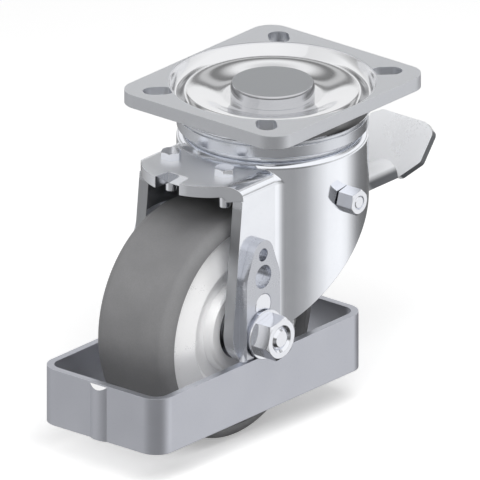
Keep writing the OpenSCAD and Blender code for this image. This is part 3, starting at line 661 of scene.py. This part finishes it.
def make_plate():
    """Top plate with its slots, and the king pin in it."""
    plate = cut(prism(rounded_rect(PLATE_L, PLATE_W, PLATE_CORNER, 20), -PLATE_T, 0),
                cylinder(PRESS_R + PRESS_LAP / 2, -PLATE_T - 5, 5, 240))
    half = (SLOT_LEN - SLOT_W) / 2
    slot = arc((half, 0), SLOT_W / 2, -90, 90, 24) + arc((-half, 0), SLOT_W / 2, 90, 270, 24)
    for sx in (-1, 1):
        for sy in (-1, 1):
            turn = Matrix.Rotation(math.radians(45 * sx * sy), 4, "Z")
            cutter = prism(slot, -2 * PLATE_T, PLATE_T)
            cut(plate, move(cutter, shift(sx * SLOT_PITCH_X / 2, sy * SLOT_PITCH_Y / 2, 0) @ turn))
    join(plate, plate_centre())
    finished(plate, "plate", "plate", "top_plate", PLATE, angle=35)

    top, step, end = -PIN_HEAD_DROP, LOWER_BALL_Z - PIN_STEP, LOWER_BALL_Z - PIN_END
    pin = lathe([(0, top), (PIN_HEAD_R - PIN_TAPER_R, top), (PIN_HEAD_R, top - PIN_TAPER_H),
                 (PIN_HEAD_R, -BOWL_H), (PIN_R, -BOWL_H), (PIN_R, step), (PIN_TAIL_R, step),
                 (PIN_TAIL_R, end + PIN_TAIL_EDGE), (PIN_TAIL_R - PIN_TAIL_EDGE, end), (0, end)], 160)
    finished(pin, "pin", "plate", "king_pin", PIN)


# Fork


def fork_plan(r, y, blend, n=24):
    """Plan outline of the round back, the two legs and the blends between them."""
    mid_y = y + blend
    mid_x = -math.sqrt((r + blend) ** 2 - mid_y**2)
    start = math.degrees(math.atan2(mid_y, mid_x))
    side = [(FRONT, y)] + arc((mid_x, mid_y), blend, -90, start - 180, n) + arc((0, 0), r, start, 0, 90)
    return side + [(x, -y) for x, y in side[::-1]][1:]


def folded_legs(low, n=16):
    """Both legs and the shelf, with the folds between them led round into the back."""
    mid_y = LEG_Y + BLEND_R
    mid_x = -math.sqrt((FORK_R + BLEND_R) ** 2 - mid_y**2)
    end = math.degrees(math.atan2(mid_y, mid_x)) - 180
    levels = [(0, low)]
    for k in range(n + 1):
        t = math.pi / 2 * k / n
        levels.append((FOLD_R * (1 - math.cos(t)), FOLD_R * (math.sin(t) - 1) - SHELF_DROP))
    layers = []
    for inset, z in levels:
        side = [(FRONT, LEG_Y - inset)] + arc((mid_x, mid_y), BLEND_R + inset, -90, end, 24) + [(-10, 10)]
        layers.append((side + [(x, -y) for x, y in side[::-1]], z))
    return loft(layers)


def fold_section(y, top, r, low, n):
    """Section of the space under the shelf, with its two folds, drawn in Y and Z."""
    return ([(-y, low), (-y, top - r)] + arc((-y + r, top - r), r, 180, 90, n)
            + arc((y - r, top - r), r, 90, 0, n) + [(y, top - r), (y, low)])


def head_hollow():
    """Hollow that leads from the head's shoulder down onto the shelf, with its ends ramped."""
    turn = math.radians(SHOULDER_TURN)
    edge_r = FORK_R - SHOULDER_R + SHOULDER_R * math.cos(turn)
    edge_z = SHOULDER_TOP - SHOULDER_R + SHOULDER_R * math.sin(turn)
    r = (edge_z + SHELF_DROP) / (1 - math.sin(turn)) + HOLLOW_BITE
    foot = (edge_r + (r - HOLLOW_BITE) * math.cos(turn), r - HOLLOW_BITE - SHELF_DROP)
    low, start = -SHELF_DROP - SHEET / 2, -SHELF_DROP - 0.2
    side, ramp = LEG_Y - FOLD_R - 0.3, edge_z + SHELF_DROP + 1
    ring = lathe([(edge_r - 1, low), (edge_r - 1, edge_z - 0.5)]
                 + arc(foot, r, 180 + SHOULDER_TURN, 270, 24) + [(foot[0], low)], 240)
    ramps = prism([(-side, low - 1), (-side, start), (-side + ramp, start + ramp),
                   (side - ramp, start + ramp), (side, start), (side, low - 1)], FRONT, HEAD_INSIDE, "x")
    return common(ring, ramps)


def fork_side():
    """Side view of the fork: the legs' round ends and the slope behind them up to the back."""
    slope_z = BACK_LOW - BACK_SLOPE * (FORK_R - LEG_REAR_X)
    rear = (LEG_REAR_X - LEG_REAR_CORNER, LEG_LOW + LEG_REAR_CORNER)
    outline = ([(FRONT, 0), (BACK, 0), (BACK, BACK_LOW + BACK_SLOPE * (BACK - FORK_R)), (LEG_REAR_X, slope_z)]
               + arc(rear, LEG_REAR_CORNER, 0, -90, 16)
               + arc((AXLE_X, LEG_LOW + LEG_ROUND), LEG_ROUND, -90, -180, 32)
               + [(LEG_TOP_X - 0.6, STEP_Z), (FRONT, STEP_Z)])
    return prism(outline, -SIDE, SIDE, "y")


def fork_front():
    """Plan view of the shelf with its curved front and notch, and room for the legs below it."""
    reach = math.degrees(math.asin(SHELF_FRONT_HALF / SHELF_FRONT_R))
    front = SHELF_FRONT_X - SHELF_FRONT_R
    shelf = ([(BACK, -SIDE), (LEG_TOP_X + 3, -SIDE), (LEG_TOP_X, -LEG_Y)]
             + arc((SHELF_FRONT_X, 0), SHELF_FRONT_R, 180 + reach, 180 - reach, 48)
             + [(LEG_TOP_X, LEG_Y), (LEG_TOP_X + 3, SIDE), (BACK, SIDE)])
    notch = [(front - 1, -NOTCH_MOUTH / 2), (front + NOTCH_DEPTH, -NOTCH_BACK / 2),
             (front + NOTCH_DEPTH, NOTCH_BACK / 2), (front - 1, NOTCH_MOUTH / 2)]
    shelf = cut(prism(shelf, STEP_Z - 0.5, STEP_Z + 40), prism(notch, STEP_Z - 20, STEP_Z + 60))
    legs = prism([(FRONT, -SIDE), (BACK, -SIDE), (BACK, SIDE), (FRONT, SIDE)], LEG_LOW - 20, STEP_Z - 0.2)
    return join(shelf, legs)


def fork_inside(low):
    """Space inside the fork, under its head and its shelf and between its legs."""
    inner = FORK_R - SHEET
    corner = (inner - ROUND_IN, HEAD_UNDER - ROUND_IN)
    hollow = lathe([(0, low), (0, HEAD_UNDER), (inner - ROUND_IN, HEAD_UNDER)]
                   + arc(corner, ROUND_IN, 90, 0, 8) + [(inner, low)], 240)
    under_shelf = prism(fold_section(LEG_IN, SHELF_UNDER, ROUND_IN, low, 8), FRONT - 1, HEAD_INSIDE, "x")
    return join(hollow, under_shelf,
                prism(fork_plan(inner, LEG_IN, BLEND_R + SHEET), low, SHELF_UNDER - ROUND_IN))


def fork_holes():
    """Cutters for the fork's holes, and for its legs where the guard band stands."""
    pin = shift(0, 0, LUG_PITCH) @ ON_AXLE
    holes = [move(cylinder(AXLE_R + HOLE_GAP, -SIDE, SIDE), ON_AXLE),
             move(cylinder(LUG_HOLE_R, -SIDE, SIDE), pin),
             move(cylinder(PIVOT_R + SLIP, -SIDE, SIDE), ON_PIVOT)]
    for s in (-1, 1):
        screw = shift(SCREW_X, s * SCREW_Y, SHELF_UNDER)
        holes.append(move(cylinder(SCREW_R + SLIP, -10, 10, 48), screw))
    for s in (-1, 1):
        y0, y1 = sorted((s * (BAND_IN - 0.25), s * (BAND_IN + 20)))
        holes.append(prism([(-SIDE, y0), (0, y0), (0, y1), (-SIDE, y1)], LEG_LOW - 5, GUARD_TOP + 0.3))
    holes.append(cylinder(HEAD_BORE_R, HEAD_UNDER - 1, HEAD_TOP + 1))
    return holes


def make_fork():
    """Fork of one pressed sheet: head, shelf, two legs and the round back."""
    low = LEG_LOW - 10
    neck_r, corner_r = FORK_R - SHOULDER_R - 0.2, FORK_R - SHOULDER_R
    sheet = lathe([(0, low), (0, HEAD_TOP), (neck_r, HEAD_TOP), (neck_r, SHOULDER_TOP)]
                  + arc((corner_r, SHOULDER_TOP - SHOULDER_R), SHOULDER_R, 90, 0, 16) + [(FORK_R, low)], 240)
    join(sheet, folded_legs(low), head_hollow())
    common(sheet, fork_side(), fork_front())
    cut(sheet, fork_inside(low - 2), *fork_holes())
    cut(sheet, lathe(arc((LOWER_RING_R, LOWER_BALL_Z), TRACK_R, 0, 350, 35), 96))
    finished(sheet, "fork_sheet", "fork", "fork", BRIGHT, angle=25)


def make_head():
    """Race ring and dust seal between plate and fork, and the shelf's two screws."""
    inner = UPPER_RING_R - BALL_R - RACE_WALL
    half = math.sqrt(TRACK_R**2 - RACE_DROP**2)
    start = 180 + math.degrees(math.atan2(RACE_DROP, half))
    ring = lathe([(inner, HEAD_TOP), (inner, RACE_TOP)]
                 + arc((UPPER_RING_R, UPPER_BALL_Z), TRACK_R, start, 540 - start, 16)
                 + [(RACE_R - RACE_EDGE, RACE_TOP), (RACE_R, RACE_TOP - RACE_EDGE),
                    (RACE_R, HEAD_TOP + RACE_EDGE), (RACE_R - RACE_EDGE, HEAD_TOP)], 240)
    finished(ring, "race_band", "fork", "race_ring", BAND)
    seal_r, seal_top = RACE_R - DUST_IN, -GROOVE_H - PLATE_T - AIR
    seal = tube(seal_r, seal_r - DUST_T, RACE_TOP, seal_top, DUST_EDGE, 240)
    finished(seal, "dust_wiper", "fork", "dust_seal", BAND)
    screws = []
    for s in (-1, 1):
        place = shift(SCREW_X, s * SCREW_Y, -SHELF_DROP)
        tip = SCREW_R - 0.6
        shank = lathe([(0, -SCREW_LEN), (tip, -SCREW_LEN), (SCREW_R, -SCREW_LEN + 0.6), (SCREW_R, BITE),
                       (0, BITE)], 48)
        screws.append(join(move(hexagon(SCREW_AF, SCREW_HEAD), place), move(shank, place)))
    finished(loose(*screws), "shelf_screws", "fork", "spring_screws", FASTENER)


# Guard


def lug_outline(low):
    """Outline of a guard lug in X and Z, from its low end to its round top."""
    left, right = AXLE_X - LUG_W / 2, AXLE_X + LUG_W / 2
    bend_z = AXLE_Z + 2 * LUG_PITCH - 3
    return ([(left, low), (left, bend_z)]
            + arc((left + LUG_BEND_R, bend_z), LUG_BEND_R, 180, 180 - LUG_BEND, 8)
            + arc((AXLE_X, LUG_TOP_Z), LUG_TOP_R, 180 - LUG_BEND, LUG_BEND, 32)
            + arc((right - LUG_BEND_R, bend_z), LUG_BEND_R, LUG_BEND, 0, 8) + [(right, bend_z), (right, low)])


def make_band():
    """Foot guard band with the weld seam on its front."""
    low, at = GUARD_TOP - GUARD_H, (GUARD_X, 0)
    outside = rounded_rect(GUARD_L, GUARD_W, GUARD_CORNER, 16, at)
    inside = rounded_rect(GUARD_L - 2 * GUARD_T, GUARD_W - 2 * GUARD_T, GUARD_CORNER - GUARD_T, 16, at)
    band = cut(prism(outside, low, GUARD_TOP), prism(inside, low - 1, GUARD_TOP + 1))
    seam_r = (SEAM_W**2 / 4 + SEAM_H**2) / (2 * SEAM_H)
    front = GUARD_X - GUARD_L / 2
    top, out, behind = GUARD_TOP - SEAM_SINK, front - SEAM_H - 1, front + 0.3
    slope = prism([(out, low - 1), (behind, low - 1), (behind, top), (front, top),
                   (out, top - SEAM_SLOPE * (SEAM_H + 1))], -SEAM_W, SEAM_W, "y")
    seam = common(prism(circle((front - SEAM_H + seam_r, 0), seam_r, 360), low, GUARD_TOP), slope)
    finished(join(band, seam), "guard", "fork", "guard_band", GUARD)


def make_lugs():
    """Guard lugs on both sides, with their weld beads and holes."""
    lug = join(prism(lug_outline(GUARD_TOP), -LUG_FACE, -LEG_Y, "y"),
               prism(lug_outline(GUARD_TOP - LUG_TONGUE), -BAND_IN, -LEG_Y, "y"))
    for s in (-1, 1):
        bead = lathe([(0, 0), (WELD + 0.4, 0), (0.2, 2 * WELD), (0, 2 * WELD)], 32)
        box = prism([(-4, -2), (4, -2), (4, 2), (-4, 2)], -BITE, 4)
        join(lug, move(common(bead, box), shift(AXLE_X + s * LUG_W / 2, -LEG_Y - LUG_T / 2, GUARD_TOP)))
    holes = [move(cylinder(AXLE_R + HOLE_GAP, -SIDE, SIDE), ON_AXLE)]
    for i in (1, 2):
        holes.append(move(cylinder(LUG_HOLE_R, -SIDE, SIDE), shift(0, 0, i * LUG_PITCH) @ ON_AXLE))
    holes.append(move(cylinder(SMALL_HOLE_R, -SIDE, SIDE, 64), shift(0, 0, LUG_TOP_Z - AXLE_Z) @ ON_AXLE))
    cut(lug, *holes)
    far = twin(lug, OTHER_SIDE)
    finished(lug, "lug_near", "fork", "guard_lug_near", LUG)
    finished(far, "lug_far", "fork", "guard_lug_far", LUG)


def make_guard():
    """Foot guard: band, lugs, and the pins that hold the lugs to the legs."""
    make_band()
    make_lugs()
    rim_r, rim_y = LUG_HOLE_R - GUARD_PIN_RIM, LUG_FACE - GUARD_PIN_RIM
    pins = []
    for place in (ON_AXLE, OTHER_SIDE @ ON_AXLE):
        pin = lathe([(0, LUG_FACE), (rim_r, LUG_FACE), (LUG_HOLE_R, rim_y), (LUG_HOLE_R, LEG_IN),
                     (0, LEG_IN)], 96)
        pins.append(move(pin, shift(0, 0, LUG_PITCH) @ place))
    finished(loose(*pins), "pins", "fork", "guard_pins", FASTENER, angle=20)


# Fasteners


def bolt(r, start, end, tip, af, head_h, steps):
    """Bolt on the Z axis from its hexagon head below -start to its turned tip at end."""
    shank = lathe([(0, -start - BITE), (r, -start - BITE), (r, end - tip), (r - tip, end), (0, end)], steps)
    head = move(hexagon(af, head_h, top=False, bottom=True), shift(0, 0, -start - head_h))
    return join(shank, head)


def make_fasteners():
    """Axle bolt with nut and washers, and brake pivot bolt with nut."""
    turn = Matrix.Rotation(math.radians(NUT_TURN), 4, "Z")
    start = LUG_FACE + WASHER_T
    axle = bolt(AXLE_R, start, start + AXLE_NUT_H, AXLE_TIP, AXLE_AF, AXLE_HEAD_H, 144)
    finished(move(axle, ON_AXLE), "axle_screw", "fork", "axle_bolt", FASTENER)
    dish_low, dish_top = AXLE_NUT_H - 1, AXLE_NUT_H + 0.1
    nut = cut(hexagon(AXLE_AF, AXLE_NUT_H), cylinder(AXLE_R, -1, AXLE_NUT_H + 1),
              lathe([(0, dish_low), (AXLE_R, dish_low), (AXLE_R + 1.2, dish_top), (0, dish_top)]))
    nut_place = ON_AXLE @ shift(0, 0, start) @ turn
    finished(move(nut, nut_place), "axle_hex", "fork", "axle_nut", FASTENER, angle=20)
    thin = GUARD_W / 2 - LUG_FACE + 0.05
    washers = []
    for s in (-1, 1):
        for r, a, b in ((LOCK_R, LUG_FACE, LUG_FACE + thin), (WASHER_R, LUG_FACE + thin, start)):
            a, b = sorted((s * a, s * b))
            washers.append(move(tube(r, AXLE_R + HOLE_GAP, a, b, 0.12), ON_AXLE))
    finished(loose(*washers), "washers", "fork", "axle_washers", FASTENER, angle=20)

    start = FORK_R + 0.2
    pivot = bolt(PIVOT_R, start, start + PIVOT_NUT_H, PIVOT_TIP, PIVOT_AF, PIVOT_HEAD_H, 72)
    finished(move(pivot, ON_PIVOT), "pivot_screw", "fork", "brake_pivot_bolt", FASTENER)
    nut = cut(hexagon(PIVOT_AF, PIVOT_NUT_H), cylinder(PIVOT_R, -1, PIVOT_NUT_H + 1))
    nut_place = ON_PIVOT @ shift(0, 0, start) @ turn
    finished(move(nut, nut_place), "pivot_hex", "fork", "brake_pivot_nut", FASTENER, angle=20)


# Wheel


def both_halves(points):
    """Half a wheel's outline of points (r, z), and its mirror image."""
    return points + [(r, -z) for r, z in points[::-1]]


def make_wheel():
    """Tyre with rounded shoulders, and the wheel centre with its raised hub."""
    y, lip = TYRE_W / 2, TYRE_R - SHOULDER - 0.8
    tyre = lathe(both_halves([(SEAT_R, RIM_W / 2), (lip - 1.2, RIM_W / 2), (lip, y)]
                             + arc((TYRE_R - SHOULDER, y - SHOULDER), SHOULDER, 90, 0, 20)), 288)
    finished(move(tyre, ON_AXLE), "tyre_tread", "wheel", "tyre", TYRE, angle=28)
    y, seat_y = HUB_W / 2, HUB_W / 2 - 0.5 - BEARING_W
    dish = CREASE_W / 2 - 2.5
    centre = lathe(both_halves([
        (BEARING_R - 1.5, seat_y), (BEARING_R, seat_y), (BEARING_R, y), (BOSS_R - 1, y), (BOSS_R, y - 1),
        (BOSS_R + 1, dish), (CREASE_R - 3, dish), (CREASE_R - 0.5, CREASE_W / 2),
        (CREASE_R + 0.5, CREASE_W / 2), (SEAT_R - 0.4, RIM_W / 2), (SEAT_R, RIM_W / 2 - 0.4)]), 288)
    finished(move(centre, ON_AXLE), "wheel_disc", "wheel", "wheel_centre", WHEEL, angle=22)


# Pedal


def pressed_wheel():
    """Place of the wheel's axis, seen from the lever, when the pedal is pressed."""
    x, z = turned((AXLE_X - PIVOT_X, AXLE_Z - PIVOT_Z), -PEDAL_TRAVEL)
    return shift(PIVOT_X + x, 0, PIVOT_Z + z) @ Matrix.Rotation(math.pi / 2, 4, "X")


def lever_cheek(y0, y1):
    """One cheek of the lever, round its pivot's bush and clear of the tyre."""
    shoe_z = PIVOT_Z + SHOE_TOP
    arm = [(PIVOT_X - EYE_R, PIVOT_Z), (PIVOT_X - 5, shoe_z - 6), (PIVOT_X + 6, shoe_z - 8),
           (CHEEK_END, NECK_TOP - 3), (CHEEK_END, NECK_TOP + 3), (PIVOT_X + 5, PIVOT_Z + 5.6)]
    cheek = join(prism(circle((PIVOT_X, PIVOT_Z), EYE_R, 72), y0, y1, "y"), prism(arm, y0, y1, "y"))
    return cut(cheek, move(cylinder(BUSH_R, -SIDE, SIDE), ON_PIVOT),
               move(cylinder(TYRE_R + 0.8, -TYRE_W, TYRE_W, 240), pressed_wheel()))


def lever_web(half):
    """Sheet that joins the cheeks and narrows into the neck."""
    x0, x1, top = PIVOT_X + 11, NECK_START + 6, PIVOT_Z - 4.5
    web = prism([(x0, top), (x1, NECK_TOP), (x1, NECK_TOP - PEDAL_T), (x0, top - PEDAL_T)], -half, half, "y")
    narrow = NECK_HALF - 3
    return common(web, prism([(0, -half), (CHEEK_END, -half), (x1, -narrow), (x1, narrow), (CHEEK_END, half),
                              (0, half)], -100, 0))


def lever_neck(tilt):
    """Arched neck of the lever, cut off where it meets the tread."""
    r = (NECK_HALF**2 + NECK_RISE**2) / (2 * NECK_RISE)
    base, mid = r - NECK_RISE, (0, NECK_TOP - r)
    a_out, a_in = math.degrees(math.acos(base / r)), math.degrees(math.acos(base / (r - PEDAL_T)))
    section = arc(mid, r, 90 - a_out, 90 + a_out, 40) + arc(mid, r - PEDAL_T, 90 + a_in, 90 - a_in, 40)
    behind = move(prism([(-80, -50), (120, -50), (120, 50), (-80, 50)], -100, 0), tilt)
    return cut(prism(section, NECK_START, NECK_END, "x"), behind)


def make_pedal():
    """Pedal lever of one pressed sheet, with its tread, and the brake shoe."""
    tilt = shift(PEDAL_END, 0, PEDAL_END_Z) @ Matrix.Rotation(math.radians(-PEDAL_SLOPE), 4, "Y")
    cheek_out = CHEEK_Y + PEDAL_T
    side = [(0, 10.2), (8.9, PEDAL_HALF), (22.8, PEDAL_HALF), (TREAD_L, 11.9)]
    tread = prism(softened([(x, -y) for x, y in side] + side[::-1], TREAD_CORNER), 0, PEDAL_T)
    move(tread, tilt @ shift(-TREAD_L, 0, -PEDAL_T))
    lever = join(lever_cheek(-cheek_out, -CHEEK_Y), lever_cheek(CHEEK_Y, cheek_out), lever_web(cheek_out),
                 lever_neck(tilt), tread)
    finished(lever, "brake_lever", "pedal", "pedal_lever", PEDAL)

    x0, x1, z0, z1 = PIVOT_X + SHOE_FRONT, PIVOT_X + SHOE_BACK, PIVOT_Z + SHOE_LOW, PIVOT_Z + SHOE_TOP
    shoe = prism([(x0, z0), (x1, z0), (x1, z1), (x0, z1)], -CHEEK_Y, CHEEK_Y, "y")
    cut(shoe, move(cylinder(TYRE_R + SHOE_GAP, -2 * TYRE_W, 2 * TYRE_W, 240), pressed_wheel()))
    finished(shoe, "shoe_block", "pedal", "brake_shoe", LINING)


# CAD nodes that keep their own shape, by material
KEPT = [
    (FASTENER, ["king_pin_nut"]),
    (BEARING, ["lower_race", "upper_balls", "lower_balls", "axle_sleeve", "hub_spacers", "distance_tube",
               "bearing_inner_rings", "bearing_outer_rings", "bearing_balls", "pivot_spacers"]),
    (SEAL, ["swivel_seal", "bearing_seals"]),
    (DARK, ["holding_spring"]),
    (BRONZE, ["pedal_bushes"]),
]


def dress_kept_nodes():
    """Gives the kept CAD nodes their materials."""
    for material, names in KEPT:
        for name in names:
            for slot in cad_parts[name].material_slots:
                slot.link, slot.material = "OBJECT", material


# Studio


# Middle of the object in metres, and light that diffuse surfaces get from the white room
MIDDLE = (-0.02, 0, -0.07)
DIFFUSE_LEVEL = 0.48
# Half the floor's width in millimetres
FLOOR_HALF = 4000


def pale_floor():
    """Wide floor that is white to the camera, and keeps a soft shadow of the object."""
    material = bpy.data.materials.new("floor")
    material.use_nodes = True
    n = Nodes(material.node_tree).surface()
    n.shader.inputs["Base Color"].default_value = (0.86, 0.86, 0.86, 1)
    n.shader.inputs["Roughness"].default_value = 0.9
    n.shader.inputs["Specular IOR Level"].default_value = 0.0
    n.shader.inputs["Emission Color"].default_value = (1, 1, 1, 1)
    n.link(n.math("MULTIPLY", n.seen_rays(), 0.35), n.shader.inputs["Emission Strength"])
    floor_z = cad_box[0].z / MM
    corners = [(-1, -1), (1, -1), (1, 1), (-1, 1)]
    floor = solid([(sx * FLOOR_HALF, sy * FLOOR_HALF, floor_z) for sx, sy in corners], [(0, 1, 2, 3)])
    floor.name = "floor"
    floor.data.transform(Matrix.Scale(MM, 4))
    floor.data.materials.append(material)
    floor.visible_glossy = False


def softbox(name, azimuth, elevation, distance, size, power):
    """Square lamp that faces the object's middle and isn't mirrored. Azimuth 0 is at -Y, 90 at +X."""
    data = bpy.data.lights.new(name, "AREA")
    data.shape, data.size, data.energy = "SQUARE", size, power
    lamp = bpy.data.objects.new(name, data)
    a, e = math.radians(azimuth), math.radians(elevation)
    away = Vector((math.sin(a) * math.cos(e), -math.cos(a) * math.cos(e), math.sin(e)))
    lamp.location = Vector(MIDDLE) + away * distance
    lamp.visible_glossy = False
    lamp.rotation_mode = "QUATERNION"
    lamp.rotation_quaternion = away.to_track_quat("Z", "Y")
    scene.collection.objects.link(lamp)


# Light that the studio's nets let through at each azimuth in degrees from +X: below the horizon, at it
# and above it
LOW_LEVELS = [
    (-180, 0.38), (-140, 0.345), (-115, 0.33), (-100, 0.43), (-90, 0.62), (-70, 0.95), (-50, 1.0), (-40, 0.9),
    (-30, 0.56), (-20, 0.31), (-10, 0.21), (10, 0.155), (30, 0.215), (100, 0.5), (140, 0.72), (180, 0.42)]
HORIZON_LEVELS = [
    (-180, 0.3), (-130, 0.25), (-105, 0.22), (-85, 0.5), (-65, 0.85), (-10, 0.9), (60, 0.9), (100, 0.6),
    (140, 0.34), (180, 0.3)]
HIGH_LEVELS = [
    (-180, 0.95), (-140, 1.0), (-60, 1.0), (-10, 0.95), (40, 0.95), (90, 0.9), (130, 1.0), (150, 0.9),
    (180, 0.85)]
# Light through them at each height, as the sine of the elevation: all round, and on the side away from
# the photo's view
RISE_LEVELS = [(-0.05, 1.0), (-0.02, 0.35), (0.02, 0.35), (0.06, 1.0), (0.80, 1.0), (0.93, 0.3), (1.0, 0.3)]
FAR_BANDS = [
    (0.0, 1.0), (0.40, 1.0), (0.43, 0.25), (0.47, 0.3), (0.51, 0.65), (0.57, 0.6), (0.60, 0.22), (0.66, 0.28),
    (0.76, 1.0), (1.0, 1.0)]
NETS_R = 3.0


def studio_nets():
    """Grey nets of a product studio. Only mirrored rays meet them; the white room shows through them."""
    material = bpy.data.materials.new("studio_nets")
    material.use_nodes = True
    n = Nodes(material.node_tree)
    where = n.add("ShaderNodeVectorMath", operation="NORMALIZE")
    n.link(n.add("ShaderNodeTexCoord").outputs["Object"], where.inputs[0])
    x, y, z = n.parts(where.outputs[0])
    azimuth = n.ramp(n.math("ARCTAN2", y, x), -math.pi, math.pi, 0, 1)
    low, middle, high = (n.level_curve(azimuth, [((a + 180) / 360, level) for a, level in levels])
                         for levels in (LOW_LEVELS, HORIZON_LEVELS, HIGH_LEVELS))
    rise = n.level_curve(n.ramp(z, -1, 1, 0, 1), [((h + 1) / 2, level) for h, level in RISE_LEVELS])
    away = n.math("ADD", n.math("MULTIPLY", x, math.sin(math.radians(-AZIMUTH))),
                  n.math("MULTIPLY", y, math.cos(math.radians(-AZIMUTH))))
    bands = n.blend_levels(n.ramp(away, 0.0, 0.3, 0, 1), 1.0, n.level_curve(z, FAR_BANDS))
    level = n.blend_levels(n.ramp(z, 0.06, 0.20, 0, 1), middle, n.math("MULTIPLY", high, bands))
    level = n.blend_levels(n.ramp(z, -0.30, -0.22, 0, 1), low, n.math("MULTIPLY", level, rise))
    # Steeply below, the nets let little light through: painted shade that stands in for the floor's shadow as
    # the metal mirrors it.
    level = n.math("MULTIPLY", level, n.ramp(z, -0.75, -0.45, 0.12, 1.0))
    net = n.add("ShaderNodeBsdfTransparent")
    n.link(level, net.inputs["Color"])
    n.link(net.outputs[0], n.add("ShaderNodeOutputMaterial").inputs[0])
    centre = (0, 0, MIDDLE[2])
    bpy.ops.mesh.primitive_uv_sphere_add(segments=96, ring_count=48, radius=NETS_R, location=centre)
    dome = bpy.context.object
    dome.name = "studio_nets"
    dome.data.materials.append(material)
    dome.visible_camera = dome.visible_diffuse = dome.visible_transmission = dome.visible_shadow = False


def white_world():
    """White room, which lights the object at a plainer level than it shows."""
    world = bpy.data.worlds.new("surroundings")
    world.use_nodes = True
    n = Nodes(world.node_tree)
    background = n.add("ShaderNodeBackground")
    background.inputs["Color"].default_value = (1, 1, 1, 1)
    n.link(n.blend_levels(n.seen_rays(), DIFFUSE_LEVEL, 1.0), background.inputs["Strength"])
    n.link(background.outputs[0], n.add("ShaderNodeOutputWorld").inputs[0])
    scene.world = world


def photo_camera():
    """Camera with the photograph's view and frame."""
    a, e = math.radians(AZIMUTH), math.radians(ELEVATION)
    back = Vector((math.sin(a) * math.cos(e), -math.cos(a) * math.cos(e), math.sin(e)))
    right = Vector((math.cos(a), math.sin(a), 0))
    up = back.cross(right)
    data = bpy.data.cameras.new("camera")
    data.type = "ORTHO"
    data.ortho_scale = PIXELS / PIXELS_PER_MM * MM
    data.clip_start, data.clip_end = 0.01, 20
    camera = bpy.data.objects.new("camera", data)
    across = (PIXELS / 2 - ORIGIN_PIXEL[0]) / PIXELS_PER_MM * MM
    rise = (ORIGIN_PIXEL[1] - PIXELS / 2) / PIXELS_PER_MM * MM
    turn = Matrix((right, up, back)).transposed().to_4x4()
    camera.matrix_world = Matrix.Translation(right * across + up * rise + back) @ turn
    scene.collection.objects.link(camera)
    scene.camera = camera


photo_camera()
make_plate()
make_fork()
make_head()
make_guard()
make_fasteners()
make_wheel()
make_pedal()
dress_kept_nodes()
pale_floor()
studio_nets()
white_world()
softbox("key", azimuth=-20, elevation=60, distance=0.9, size=0.7, power=5)
softbox("side", azimuth=-75, elevation=40, distance=0.9, size=0.5, power=2)
scene.view_settings.view_transform = "Standard"
